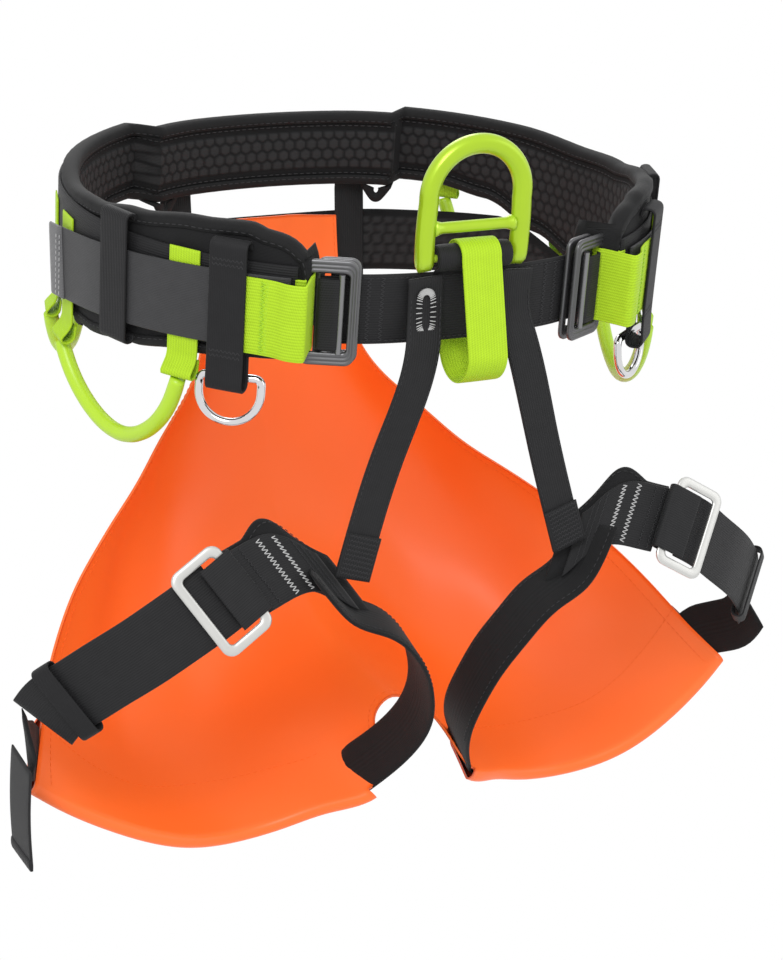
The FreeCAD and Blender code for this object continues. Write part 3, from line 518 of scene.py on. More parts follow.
def dashes(line, out, lift, dash=2.6, gap=1.4):
    """Running stitches along a line on a surface."""
    line = arr(line) + arr(out) * lift
    t = lengths(line)
    found = []
    at = 0.5
    while at + dash < t[-1]:
        ends = [arr([np.interp(q, t, line[:, k]) for k in range(3)]) for q in (at, at + dash)]
        found.append(tuple(ends))
        at += dash + gap
    return found


def zigzag(start, end, across, out, half_width, step, lift):
    """A bar tack between two points."""
    start, end = arr(start), arr(end)
    across, out = unit(across), unit(out)
    count = max(int(np.linalg.norm(end - start) / step), 2)
    found = []
    for i in range(count):
        a = start + (end - start) * i / count
        b = start + (end - start) * (i + 1) / count
        way = 1 if i % 2 == 0 else -1
        found.append((a - across * half_width * way + out * lift,
                      b + across * half_width * way + out * lift))
    return found


def per_side():
    return (("left", 1), ("right", -1))


def to_side(points, way):
    return arr(points) if way > 0 else mirror(points)


# ------------------------------------------------------------------ waist oval

HALF_WIDTH, HALF_DEPTH = 179.0, 143.0
FRONT_R, SIDE_R, CORNER_R = 300.0, 165.0, 110.0
GIRTH_OFFSET = 8.0
BELT_TILT = math.radians(8.5)
BELT_TOP = [(-200, 9), (-134, 11), (-125, 15), (-101, 13), (-60, 7), (-20, 1), (30, -2), (80, 0), (200, 0)]
BELT_BOTTOM = [(-200, -63), (-136, -65), (-95, -70), (-60, -76), (-20, -82), (20, -82), (60, -72),
               (100, -57), (130, -52), (200, -52)]


def waist_table():
    """Position and outward normal of the oval's inner face at each step of distance round it."""
    front = arr([0, FRONT_R - HALF_DEPTH])
    side = arr([HALF_WIDTH - SIDE_R, 0])
    gap = np.linalg.norm(side - front)
    r_front, r_side = FRONT_R - CORNER_R, SIDE_R - CORNER_R
    along = (gap ** 2 + r_front ** 2 - r_side ** 2) / (2 * gap)
    off = math.sqrt(r_front ** 2 - along ** 2)
    way = (side - front) / gap
    corner = front + way * along + arr([way[1], -way[0]]) * off
    cx, cy = abs(corner[0]), abs(corner[1])
    a_front = math.atan2(cx, cy + front[1])
    a_side = math.atan2(cy, cx - side[0])
    q = math.pi / 2
    parts = [((0, front[1]), FRONT_R, -q, -q + a_front), ((cx, -cy), CORNER_R, -q + a_front, -a_side),
             ((side[0], 0), SIDE_R, -a_side, a_side), ((cx, cy), CORNER_R, a_side, q - a_front),
             ((0, -front[1]), FRONT_R, q - a_front, q)]
    rows = []
    s = 0.0
    for (x, y), r, a0, a1 in parts:
        for a in np.linspace(a0, a1, 200)[:-1]:
            rows.append((s + (a - a0) * (r + GIRTH_OFFSET), x + r * math.cos(a), y + r * math.sin(a), a))
        s += (a1 - a0) * (r + GIRTH_OFFSET)
    rows.append((s, 0.0, HALF_DEPTH, q))
    half = arr(rows)
    back = half[::-1].copy()
    back[:, 0] = 2 * s - back[:, 0]
    back[:, 1] *= -1
    back[:, 3] = math.pi - back[:, 3]
    return np.concatenate([half, back[1:]]), 2 * s


WAIST, GIRTH = waist_table()


def level(s, offset, z):
    """Points of the oval at a distance round, an offset out and a height, without the tilt."""
    s = np.mod(arr(s), GIRTH)
    x, y, a = (np.interp(s, WAIST[:, 0], WAIST[:, k]) for k in (1, 2, 3))
    px = x + np.cos(a) * offset
    py = y + np.sin(a) * offset
    return np.stack(np.broadcast_arrays(px, py, z), -1).astype(float)


def tilted(points):
    points = arr(points)
    y = points[..., 1] * math.cos(BELT_TILT) - points[..., 2] * math.sin(BELT_TILT)
    z = points[..., 1] * math.sin(BELT_TILT) + points[..., 2] * math.cos(BELT_TILT)
    return np.stack([points[..., 0], y, z], -1)


def belt(s, offset, z):
    return tilted(level(s, offset, z))


def belt_out(s):
    s = np.mod(arr(s), GIRTH)
    a = np.interp(s, WAIST[:, 0], WAIST[:, 3])
    return tilted(np.stack([np.cos(a), np.sin(a), np.zeros_like(a)], -1))


BELT_UP = tilted(UP)

# ------------------------------------------------------------------ padded belt

TONGUE_END = 91.0
TONGUE_ROUND = 26.0
BELT_OUTER = 8.9


def belt_limits(s, inset=0.0):
    """Heights of the padding's top and bottom edges at distances round, rounded at its two ends."""
    y = level(s, 4.0, 0.0)[:, 1]
    from_end = np.minimum(s - TONGUE_END, GIRTH - TONGUE_END - s) - inset
    r = TONGUE_ROUND - inset
    dip = np.where(from_end < r, r - np.sqrt(np.maximum(r ** 2 - (r - np.clip(from_end, 0, r)) ** 2, 0)), 0)
    return table_value(BELT_TOP, y) - inset - dip, table_value(BELT_BOTTOM, y) + inset + dip


def belt_stations(inset, step):
    start = TONGUE_END + inset
    ends = TONGUE_ROUND * (1 - np.cos(np.linspace(0, math.pi / 2, 10)))[:-1]
    middle = np.arange(start + TONGUE_ROUND, GIRTH - start - TONGUE_ROUND, step)
    return np.concatenate([start + ends, middle, GIRTH - start - ends[::-1]])


def hexagons(u, v, cell):
    """Distance from the nearest edge of a honeycomb, 0 on an edge and 1 in a cell's middle."""
    size = arr([cell, cell * math.sqrt(3)])
    p = np.stack([u, v], -1)
    a = np.mod(p, size) - size / 2
    b = np.mod(p - size / 2, size) - size / 2
    near = np.where(((a ** 2).sum(-1) < (b ** 2).sum(-1))[..., None], a, b)
    near = np.abs(near)
    slanted = near[..., 0] * 0.5 + near[..., 1] * math.sqrt(3) / 2
    return 1 - 2 * np.maximum(slanted, near[..., 0]) / cell


def make_belt_pad():
    """Foam and outer cover as one soft shell, softly quilted, with a hollow edge for the tape."""
    s = belt_stations(0.6, 4.0)
    top, low = belt_limits(s, 0.6)
    t = np.linspace(0, 1, 33)
    z = low[:, None] + (top - low)[:, None] * t[None]
    edge = np.minimum(t, 1 - t)[None] * (top - low)[:, None]
    from_end = np.minimum(s - s[0], s[-1] - s)[:, None]
    edge = np.minimum(edge, from_end + 0.5)
    plump = 1 - np.exp(-edge / 4.0)
    dimple = 0.18 * np.sin(s[:, None] / 23.0) * np.sin(z / 9.0 + s[:, None] / 31.0)
    outer = 4.6 + (BELT_OUTER - 4.6) * plump + dimple * plump
    inner = 3.6 + (0.4 - 3.6) * plump
    loops = np.concatenate([belt(s[:, None], outer, z), belt(s[:, None], inner, z)[:, ::-1]], 1)
    u = np.concatenate([z, z[:, ::-1] - 200, z[:, :1]], 1)
    uv = np.stack([u, np.broadcast_to(s[:, None], u.shape)], -1)
    piece = grid_piece("belt_padding", loops, uv, "cover", "waist_belt", wrap_columns=True, caps=True,
                       slot="belt_fabric")
    replace_nodes(piece, "belt_pad", "belt_cover")


def replace_nodes(piece, *nodes):
    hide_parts(*nodes)
    return piece


def make_belt_lining():
    """Inner mesh with a raised honeycomb inside a stitched border."""
    inset = 7.0
    s = np.arange(TONGUE_END + 30, GIRTH - TONGUE_END - 30, 1.25)
    top, low = belt_limits(s, inset)
    rows = 56
    t = np.linspace(0, 1, rows)
    z = low[:, None] + (top - low)[:, None] * t[None]
    girth = np.broadcast_to(s[:, None], z.shape)
    cells = np.clip(hexagons(girth, z, 8.4) / 0.34, 0, 1)
    edge = np.minimum(np.minimum(z - low[:, None], top[:, None] - z),
                      np.minimum(girth - s[0], s[-1] - girth))
    border = np.clip((edge - 5.5) / 1.5, 0, 1)
    bulge = np.clip(edge / 14.0, 0, 1)
    offset = 0.1 - 1.0 * border * (0.35 + 0.65 * np.sin(cells * math.pi / 2)) - 0.8 * bulge
    offset = np.where(edge < 0.5, 0.6, offset)
    grid = belt(girth, offset, z)
    uv = np.stack([z, girth], -1)
    lining = grid_piece("belt_lining_mesh", grid, uv, "lining", "waist_belt", slot="belt_fabric")
    replace_nodes(lining, "belt_lining")
    mark_relief(lining, border * cells ** 2)
    lines = []
    for way in (0.055, 0.945):
        path = belt(s, -0.55, low + (top - low) * way)[::2]
        lines += dashes(path, -belt_out(s)[::2], 0.15, 3.0, 1.6)
    stitches("lining_stitching", lines, 0.32, "black_thread", "waist_belt")


def mark_relief(piece, amount):
    attribute = piece.data.attributes.new("relief", "FLOAT", "POINT")
    attribute.data.foreach_set("value", amount.reshape(-1))


def belt_perimeter(inset=0.0):
    """Closed line round the padding's edge as (distance round, height) with its inward direction."""
    s = belt_stations(inset, 4.0)
    top, low = belt_limits(s, inset)
    line = np.concatenate([np.stack([s, top], 1), np.stack([s, low], 1)[::-1]])
    keep = [0]
    for i in range(1, len(line)):
        if np.linalg.norm(line[i] - line[keep[-1]]) > 0.8:
            keep.append(i)
    line = line[keep]
    ahead = unit(np.roll(line, -1, 0) - np.roll(line, 1, 0))
    inward = np.stack([ahead[:, 1], -ahead[:, 0]], 1)
    return line, inward


def make_belt_tape():
    """Folded edge tape all round the padding."""
    line, inward = belt_perimeter()
    profile = [(7.5, BELT_OUTER - 0.5), (7.2, BELT_OUTER + 0.3), (4.5, BELT_OUTER + 0.5),
               (1.6, BELT_OUTER + 0.1), (0.2, BELT_OUTER - 2.4),
               (-0.3, 4.4), (0.2, 1.6), (1.6, -0.9), (4.5, -1.5), (7.2, -1.2), (7.5, -0.3)]
    girth = lengths(line)
    grid = []
    for depth, offset in profile:
        at = line + inward * depth
        pucker = 0.10 * np.sin(girth / 1.9) if 0.1 < depth < 7.3 else 0.0
        grid.append(belt(at[:, 0], offset + pucker * np.sign(offset - 4.4), at[:, 1]))
    grid = np.stack(grid, 1)
    across = np.cumsum([0] + [math.dist(a, b) for a, b in zip(profile, profile[1:])])
    v = np.concatenate([girth, [girth[-1] + 4]])
    uv = np.stack(np.broadcast_arrays(across[None], v[:, None]), -1)
    tape = grid_piece("belt_edge_tape", grid, uv, "tape", "waist_belt", wrap_rows=True, slot="edge_binding")
    replace_nodes(tape, "belt_binding")
    lines = []
    for depth, offset, way in ((5.6, BELT_OUTER + 0.45, 1), (5.6, -1.45, -1)):
        at = line + inward * depth
        at = np.concatenate([at, at[:1]])
        lines += dashes(belt(at[:, 0], offset, at[:, 1]), belt_out(at[:, 0]) * way, 0.05, 3.0, 1.5)
    stitches("tape_stitching", lines, 0.3, "black_thread", "waist_belt")


WIDE, NARROW = 44.0, 22.6          # visible widths of the two webbings
THIN, MEDIUM = 1.7, 1.9            # their thicknesses when single and when sewn down


def strap_round(name, s0, s1, offset, z_mid, width, thick, material, nodes=(), slot="black_webbing",
                sink=None, **extra):
    """Webbing that lies along the belt."""
    s = np.arange(s0, s1 + 0.1, 4.0)
    height = np.full(len(s), float(z_mid)) if sink is None else z_mid - sink(s)
    piece = webbing(name, belt(s, offset, height), BELT_UP, belt_out(s), width, thick, material,
                    "waist_belt", slot=slot, **extra)
    return replace_nodes(piece, *nodes) if nodes else piece


def make_belt_straps():
    strap_round("load_webbing_band", TONGUE_END + 6, GIRTH - TONGUE_END - 6, 9.5, -28.0, WIDE, THIN,
                "webbing", ["load_webbing"])
    strap_round("front_webbing_band", GIRTH - 84, GIRTH + 84, 8.2, -36.6, 42.8, 2.0, "webbing",
                ["front_webbing"])
    black = []
    for s0, z in ((-80, -17.5), (-80, -55.7)):
        s = np.arange(s0, 80.1, 4.0)
        black += dashes(belt(s, 10.25, z), belt_out(s), 0.15, 2.4, 1.2)
    for s0 in (-62, -54, 54, 62):
        line = belt(np.full(20, s0 * 1.0), 10.25, np.linspace(-56, -17, 20))
        black += zigzag(line[0], line[-1], belt(s0 + 1.0, 10, 0) - belt(s0 * 1.0, 10, 0), belt_out(arr(s0)),
                        1.3, 1.2, 0.2)
    stitches("front_webbing_stitching", black, 0.28, "black_thread", "waist_belt")


TAIL_SPAN, TAIL_FREE, TAIL_SINK, TAIL_Z = (104.0, 254.0), 44.0, 14.0, -34.5


def make_strap_tails():
    """Loose end of the waist webbing, with its folded and sewn end."""
    s = np.linspace(*TAIL_SPAN, 40)
    length = TAIL_SPAN[1] - TAIL_SPAN[0] + TAIL_FREE
    height = TAIL_Z - TAIL_SINK * ((s - s[0]) / length) ** 2
    held = tilted(level(s, 13.1, height))
    ahead = unit(held[-1] - held[-2])
    free = np.linspace(4, TAIL_FREE, 12)[:, None]
    curl = belt_out(arr(TAIL_SPAN[1])) * (free / TAIL_FREE) ** 2 * -2.0
    line = np.concatenate([held, held[-1] + ahead * free + curl])
    out = np.concatenate([belt_out(s), np.repeat(belt_out(s)[-1:], len(free), 0)])
    for name, way in per_side():
        main, main_out = to_side(line[:-4], way), to_side(out[:-4], way)
        piece = webbing("strap_tail_band_" + name, main, BELT_UP, main_out, 45.0, 1.7, "tail", "waist_belt",
                        slot="black_webbing", seed=2)
        replace_nodes(piece, "strap_tail_" + name)
        end, end_out = to_side(line[-6:], way), to_side(out[-6:], way)
        webbing("strap_tail_fold_" + name, end, BELT_UP, end_out, 45.4, 3.4, "tail_end", "waist_belt",
                slot="black_webbing")
        seam = to_side(line[-6] + out[-6] * 3.5, way)
        rows = []
        for shift in (1.5, 6.0):
            base = seam + to_side(ahead, way) * shift
            rows += dashes([base - BELT_UP * 21, base + BELT_UP * 21], to_side(out[-6:-4], way), 0.1, 2.4,
                           1.2)
        stitches("strap_tail_seam_" + name, rows, 0.3, "thread", "waist_belt")


def rounded_path(points, radius, step=1.0):
    """A line through (a, b) corners, rounded off."""
    points = arr(points)
    found = [points[0]]
    for before, corner, after in zip(points, points[1:], points[2:]):
        r = min(radius, np.linalg.norm(before - corner) / 2.2, np.linalg.norm(after - corner) / 2.2)
        a = corner + unit(before - corner) * r
        b = corner + unit(after - corner) * r
        for t in np.linspace(0, 1, 6):
            found.append(a * (1 - t) ** 2 + 2 * corner * t * (1 - t) + b * t * t)
    found.append(points[-1])
    found = arr(found)
    return even_steps(found, max(int(lengths(found)[-1] / step), 6))


def make_keepers():
    """Rear and front keepers, the front ones with a loop for the side ring."""
    rear = rounded_path([(10.0, 2.0), (10.2, 4.6), (15.4, 4.8), (15.4, -72.6), (10.2, -72.4),
                         (10.0, -69.0)], 3.0)
    front = rounded_path([(9.8, -60.0), (9.6, -83.6), (18.2, -83.4), (17.2, -66.0), (17.2, 4.6),
                          (10.4, 4.6), (10.2, 0.0)], 4.5)
    for name, way in per_side():
        for kind, s_mid, width, path in (("rear", 218.0, 24.0, rear), ("front", 138.5, 23.0, front)):
            around = belt(s_mid + 1.0, 0.0, 0.0) - belt(s_mid - 1.0, 0.0, 0.0)
            line = belt(np.full(len(path), s_mid), path[:, 0], path[:, 1])
            ahead = directions(line)
            normal = np.cross(ahead, unit(around))
            if (normal[len(normal) // 2] @ belt_out(arr(s_mid))) < 0:
                normal = -normal
            piece = webbing(kind + "_keeper_band_" + name, to_side(line, way), to_side(around, way),
                            to_side(normal, way), width, 1.6,
                            "webbing" if kind == "rear" else "fine_webbing", "waist_belt", step=1.2,
                            slot="black_webbing", ripple=0.05)
            replace_nodes(piece, kind + "_keeper_" + name)
        rows = []
        for z in (-8.0, -5.0, -63.0, -60.0):
            ends = belt(arr([129.5, 147.5]), 18.95, z)
            rows += zigzag(*to_side(ends, way), BELT_UP, to_side(belt_out(arr(138.5)), way), 0.9, 1.2, 0.1)
        stitches("front_keeper_stitching_" + name, rows, 0.26, "black_thread", "waist_belt")


def make_side_tabs():
    """Lime webbing that holds each waist buckle, folded round its side bar and sewn down."""
    outer = [(133.5, 15.3), (121, 15.3), (111, 16.9), (104, 20.9), (97, 21.5), (93.8, 20.8), (93.6, 17.0),
             (93.8, 12.4), (97, 11.6), (102, 11.6)]
    path = rounded_path(outer, 3.0)
    line0 = belt(path[:, 0], path[:, 1], -36.5)
    ahead = directions(line0)
    normal = np.cross(ahead, BELT_UP)
    if normal[0] @ belt_out(arr(130.0)) < 0:
        normal = -normal
    for name, way in per_side():
        piece = webbing("side_tab_band_" + name, to_side(line0, way), BELT_UP, to_side(normal, way), 46.0,
                        1.5, "lime_webbing",
                        "waist_belt", step=1.5, slot="green_webbing", ripple=0.05)
        replace_nodes(piece, "side_tab_" + name)
        rows = []
        for s_at in (131.2, 118.5, 115.5):
            line = to_side(belt(arr([s_at, s_at]), 17.0 if s_at > 119 else 17.4, arr([-58.0, -15.0])), way)
            rows += zigzag(line[0], line[1], to_side(belt(s_at + 1.0, 0, 0) - belt(s_at - 1.0, 0, 0), way),
                           to_side(belt_out(arr(s_at)), way), 1.5, 1.3, 0.15)
        stitches("side_tab_stitching_" + name, rows, 0.34, "lime_thread", "waist_belt")


# ------------------------------------------------------------------ metal plates

def rounded_outline(width, height, radius, arc=7, edge=4):
    """Points of a rounded rectangle, the same number whatever its size."""
    radius = max(min(radius, width / 2 - 0.01, height / 2 - 0.01), 0.05)
    found = []
    corners = ((1, 1, 0), (-1, 1, 90), (-1, -1, 180), (1, -1, 270))
    for k, (sx, sy, start) in enumerate(corners):
        cx, cy = sx * (width / 2 - radius), sy * (height / 2 - radius)
        for i in range(arc):
            a = math.radians(start + 90 * i / (arc - 1))
            found.append((cx + radius * math.cos(a), cy + radius * math.sin(a)))
        nx, ny, _ = corners[(k + 1) % 4]
        ex, ey = nx * (width / 2 - radius), ny * (height / 2 - radius)
        a = math.radians(start + 90)
        last = found[-1]
        following = (ex + radius * math.cos(a), ey + radius * math.sin(a))
        for i in range(1, edge):
            found.append((last[0] + (following[0] - last[0]) * i / edge,
                          last[1] + (following[1] - last[1]) * i / edge))
    return arr(found)


def ring_plate(name, outer, inner, profile, place, material, body, nodes, slot):
    """A flat ring between two rounded rectangles. profile is (0 outside to 1 inside, height)."""
    rows = []
    for t, height in profile:
        size = [o + (i - o) * t for o, i in zip(outer, inner)]
        outline = rounded_outline(*size)
        rows.append(np.stack([outline[:, 0], np.full(len(outline), height), outline[:, 1]], 1))
    local = np.stack(rows, 0)
    grid = place(local)
    uv = np.zeros((len(profile) + 1, local.shape[1] + 1, 2))
    piece = grid_piece(name, grid, uv, material, body, wrap_rows=True, wrap_columns=True, slot=slot)
    replace_nodes(piece, *nodes)
    return piece


BUCKLE_S, BUCKLE_OFF, BUCKLE_Z = 84.5, 17.6, -36.5
BUCKLE_W, BUCKLE_H = 33.0, 64.0


def waist_buckle_place(way):
    out = level(BUCKLE_S, 1.0, 0.0) - level(BUCKLE_S, 0.0, 0.0)
    to_front = -np.cross(UP, out)
    at = level(BUCKLE_S, BUCKLE_OFF, BUCKLE_Z)

    def place(local):
        world = at + local[..., :1] * to_front + local[..., 1:2] * out + local[..., 2:3] * UP
        return to_side(tilted(world), way)
    return place


def make_waist_buckles():
    """Each has a front frame with raised lines, a plainer rear frame, a bar and wrapped webbing."""
    half = 1.3
    raised = [(0.0, -0.9), (0.0, 0.5), (0.06, 1.0), (0.16, 1.25), (0.24, 1.25), (0.30, 0.75), (0.38, 0.75),
              (0.44, 1.25), (0.54, 1.25),
              (0.60, 0.75), (0.68, 0.75), (0.74, 1.25), (0.84, 1.25), (0.95, 0.9), (1.0, 0.4), (1.0, -0.9),
              (0.94, -half), (0.06, -half)]
    plain = [(0.0, -0.8), (0.0, 0.7), (0.1, 1.15), (0.5, half), (0.9, 1.15), (1.0, 0.7), (1.0, -0.8),
             (0.9, -half), (0.1, -half)]
    for name, way in per_side():
        body = "waist_buckle_" + name
        place = waist_buckle_place(way)
        ring_plate("buckle_front_" + name, (BUCKLE_W, BUCKLE_H, 6.0), (BUCKLE_W - 10, BUCKLE_H - 16, 2.5),
                   raised, place,
                   "dark_metal", body, ["buckle_front_frame_" + name], "dark_alloy")
        ring_plate("buckle_rear_" + name, (26.0, BUCKLE_H, 6.0), (16.0, BUCKLE_H - 16, 2.5), plain,
                   lambda local, place=place: place(local + arr([5.0, -5.4, 0.0])), "dark_metal", body,
                   ["buckle_rear_frame_" + name], "dark_alloy")
        wrap = rounded_path([(-5.8, 0.6), (-5.8, 3.0), (4.8, 3.2), (8.2, 0.2), (4.8, -3.0), (-5.4, -2.2)],
                            3.0, 0.8)
        line = np.stack([wrap[:, 0], wrap[:, 1], np.zeros(len(wrap))], 1)
        world = place(line)
        centre = place(arr([1.0, 0.0, 0.0]))
        piece = webbing("buckle_webbing_" + name, world, BELT_UP, world - centre, 43.0, 0.9, "webbing",
                        body, step=0.9,
                        slot="black_webbing", ripple=0.0)
        replace_nodes(piece, "buckle_wrap_" + name)
        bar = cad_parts["buckle_bar_" + name]
        repaint(bar, "dark_metal")


def repaint(shown, material):
    shown.data.materials.clear()
    shown.data.materials.append(MATERIALS[material])
    shown.data.polygons.foreach_set("use_smooth", [True] * len(shown.data.polygons))


# ------------------------------------------------------------------ tie-in ring, roll and belay loop

PIVOT = arr([0.0, -153.0, -6.5])
RING_HALF, RING_LEG, RING_T, RING_ARC_H = 30.4, 11.6, 10.0, 36.5
CROSSBAR_H = 18.0
SLEEVE_R = 7.5


def ring_place(local):
    return tilted(arr(local) + PIVOT)


def forged_section(width, depth):
    """Cross-section of the ring: broad bevels inside and out."""
    w, d = width / 2, depth / 2
    corners = [(w, d * 0.45), (w * 0.55, d), (-w * 0.35, d), (-w, d * 0.35), (-w, -d * 0.35),
               (-w * 0.35, -d), (w * 0.55, -d), (w, -d * 0.45)]
    found = []
    for i, corner in enumerate(corners):
        before, after = arr(corners[i - 1]), arr(corners[(i + 1) % 8])
        corner = arr(corner)
        for t in (-0.34, -0.17, 0.17, 0.34):
            side = before if t < 0 else after
            found.append(corner + (side - corner) * abs(t) * 0.8 + (corner * -0.02 if abs(t) < 0.2 else 0))
    return arr(found)


def make_ring():
    legs = 14
    path = [(RING_HALF - 0.3 + 1.0 * math.sin(math.pi * t),
             RING_ARC_H * t - 7.6 * (1 - t)) for t in np.linspace(0, 1, legs)][:-1]
    arch = [(RING_HALF * math.cos(a), RING_ARC_H + RING_HALF * math.sin(a)) for a in np.linspace(0, math.pi,
                                                                                                 37)]
    line = arr(path + arch + [(-x, z) for x, z in reversed(path)])
    rows = len(line)
    ahead = directions(line)
    inward = np.stack([-ahead[:, 1], ahead[:, 0]], 1)
    distance = lengths(line)
    from_tip = np.minimum(distance, distance[-1] - distance)
    grid = np.zeros((rows, 32, 3))
    for i in range(rows):
        taper = min(1.0, math.sqrt(max(1 - (1 - min(from_tip[i] / 7.0, 1.0)) ** 2, 0.02)))
        swell = 1.0 + 0.10 * math.exp(-((from_tip[i] - 8) / 6.0) ** 2)
        section = forged_section(RING_LEG * (0.72 + 0.28 * taper), RING_T * taper * swell)
        grid[i, :, 0] = line[i, 0] - inward[i, 0] * section[:, 0]
        grid[i, :, 2] = line[i, 1] - inward[i, 1] * section[:, 0]
        grid[i, :, 1] = section[:, 1]
    uv = np.zeros((rows, 33, 2))
    ring = grid_piece("front_ring", ring_place(grid), uv, "lime_metal", "ring", wrap_columns=True,
                      caps=True, slot="green_aluminium")
    replace_nodes(ring, "tie_in_ring")
    inner = RING_HALF - RING_LEG / 2
    ts = np.linspace(-1, 1, 31)
    flare = 3.4 + 1.6 * np.maximum(0, np.abs(ts) - 0.82) / 0.18
    bar = np.stack([ts * (inner + 1.5), np.zeros(31), np.full(31, CROSSBAR_H)], 1)
    tube("front_ring_crossbar", ring_place(bar), flare, "lime_metal", "ring", sides=20,
         slot="green_aluminium")
    repaint(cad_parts["ring_pin"], "lime_metal")


def make_sleeve():
    """Rolled webbing that the ring turns on, sewn down into the front webbing behind it."""
    half = RING_HALF - RING_LEG / 2 - 0.8
    turns = []
    for a in np.linspace(math.radians(-60), math.radians(262), 40):
        turns.append((math.cos(a) * SLEEVE_R, math.sin(a) * SLEEVE_R))
    skirt = [(0.6, -9.0), (1.4, -12.0), (1.9, -18.0)]
    profile = arr(turns + skirt)
    xs = np.linspace(-half, half, 41)
    soft = 1 - 0.05 * np.exp(-((half - np.abs(xs)) / 2.0) ** 2)
    grid = np.zeros((len(xs), len(profile), 3))
    grid[:, :, 0] = xs[:, None]
    wrinkle = 0.18 * np.sin(xs[:, None] / 3.1 + profile[None, :, 0] / 2.0)
    grid[:, :, 1] = profile[None, :, 0] * soft[:, None] + wrinkle
    grid[:, :, 2] = profile[None, :, 1] * soft[:, None]
    uv = np.stack(np.broadcast_arrays(xs[:, None], lengths(profile)[None]), -1)
    piece = grid_piece("ring_roll", ring_place(grid), uv, "fine_webbing", "waist_belt",
                       slot="black_webbing")
    thicken(piece, 0.7)
    replace_nodes(piece, "tie_in_sleeve")
    for name, way in per_side():
        turn = np.linspace(0.4, 4.6 * math.pi, 90)
        coil = np.stack([np.full(90, way * (half - 0.4)), np.cos(turn) * (6.6 - turn * 0.28),
                         np.sin(turn) * (6.6 - turn * 0.28)], 1)
        tube("ring_roll_end_" + name, ring_place(coil), 0.75, "fine_webbing", "waist_belt", sides=6,
             slot="black_webbing")


def thicken(piece, thick, offset=0.0):
    modifier = piece.modifiers.new("thickness", "SOLIDIFY")
    modifier.thickness = thick * MM
    modifier.offset = offset
    apply_modifiers(piece)


def apply_modifiers(piece):
    graph = bpy.context.evaluated_depsgraph_get()
    mesh = bpy.data.meshes.new_from_object(piece.evaluated_get(graph))
    piece.modifiers.clear()
    piece.data = mesh


BELAY_W, BELAY_T, BELAY_X, BELAY_DROP, BELAY_LOW_R = 26.0, 2.4, 2.0, 56.0, 17.0


def make_belay_loop():
    """Lime webbing in two layers round the roll and the front webbing."""
    pivot = tilted(PIVOT)
    top_r = SLEEVE_R + 0.5
    lean = math.asin((BELAY_LOW_R - top_r) / BELAY_DROP)
    line = []
    for a in np.linspace(-lean, math.pi + lean, 30):
        line.append((math.cos(a) * top_r, math.sin(a) * top_r))
    for a in np.linspace(math.pi + lean, 2 * math.pi - lean, 40):
        line.append((math.cos(a) * BELAY_LOW_R, math.sin(a) * BELAY_LOW_R - BELAY_DROP))
    line = arr(line + line[:1])
    line = even_steps(line, 121)[:-1]
    centres = np.stack([np.full(120, BELAY_X), pivot[1] + line[:, 0], pivot[2] + line[:, 1]], 1)
    middle = arr([BELAY_X, pivot[1], pivot[2] - BELAY_DROP / 2])
    radial = centres - middle
    for k, (name, width) in enumerate((("inner", BELAY_W - 0.8), ("outer", BELAY_W))):
        ahead = unit(np.roll(centres, -1, 0) - np.roll(centres, 1, 0))
        normal = np.cross(ahead, arr([1.0, 0, 0]))
        normal *= np.sign((normal * radial).sum(1, keepdims=True))
        layer = centres + normal * (k * BELAY_T / 2)
        piece = webbing("belay_loop_" + name, layer, arr([1.0, 0, 0]), normal, width, BELAY_T / 2 - 0.1,
                        "lime_webbing", "belay",
                        closed=True, slot="green_webbing")
        if name == "outer":
            replace_nodes(piece, "belay_loop")
            outer_face = layer + normal * BELAY_T / 2
    rows = []
    for back in (14, 18, 22):
        i = 110 - back
        rows += zigzag(outer_face[i] + arr([-10.5, 0, 0]), outer_face[i] + arr([10.5, 0, 0]),
                       outer_face[i + 1] - outer_face[i],
                       normal[i], 0.8, 1.1, 0.1)
    stitches("belay_loop_stitching", rows, 0.3, "lime_thread", "belay")


# ------------------------------------------------------------------ side rings and gear loops

GEAR_FRONT = [(168.0, 15.6, -84.0), (282.0, 15.6, -97.0)]
GEAR_REAR = [(322.0, 15.6, -94.0), (418.0, 15.2, -66.0)]
GEAR_DROP = 46.0
GEAR_TAB_TOP = {"front": -5.0, "side": -16.0, "rear": -8.0}


def make_gear_loops():
    shape = arr([(0.0, 0.0), (0.06, 0.30), (0.22, 0.74), (0.5, 1.0), (0.78, 0.74), (0.94, 0.30),
                 (1.0, 0.0)])
    for kind, ends in (("front", GEAR_FRONT), ("rear", GEAR_REAR)):
        a, b = (belt(arr(s), off, z) for s, off, z in ends)
        bow = a + (b - a) * shape[:, :1] + arr([0, 0, -GEAR_DROP]) * shape[:, 1:]
        line = spline(bow, 60)
        radius = 4.9 - 0.25 * np.exp(-(np.minimum(lengths(line),
                                                  lengths(line)[-1] - lengths(line)) / 4.0) ** 2)
        for name, way in per_side():
            body = "gear_%s_%s" % (kind, name)
            piece = tube("gear_tube_%s_%s" % (kind, name), to_side(line, way), radius, "lime_tube", body,
                         sides=18, slot="green_tube")
            replace_nodes(piece, "gear_loop_%s_%s" % (kind, name))


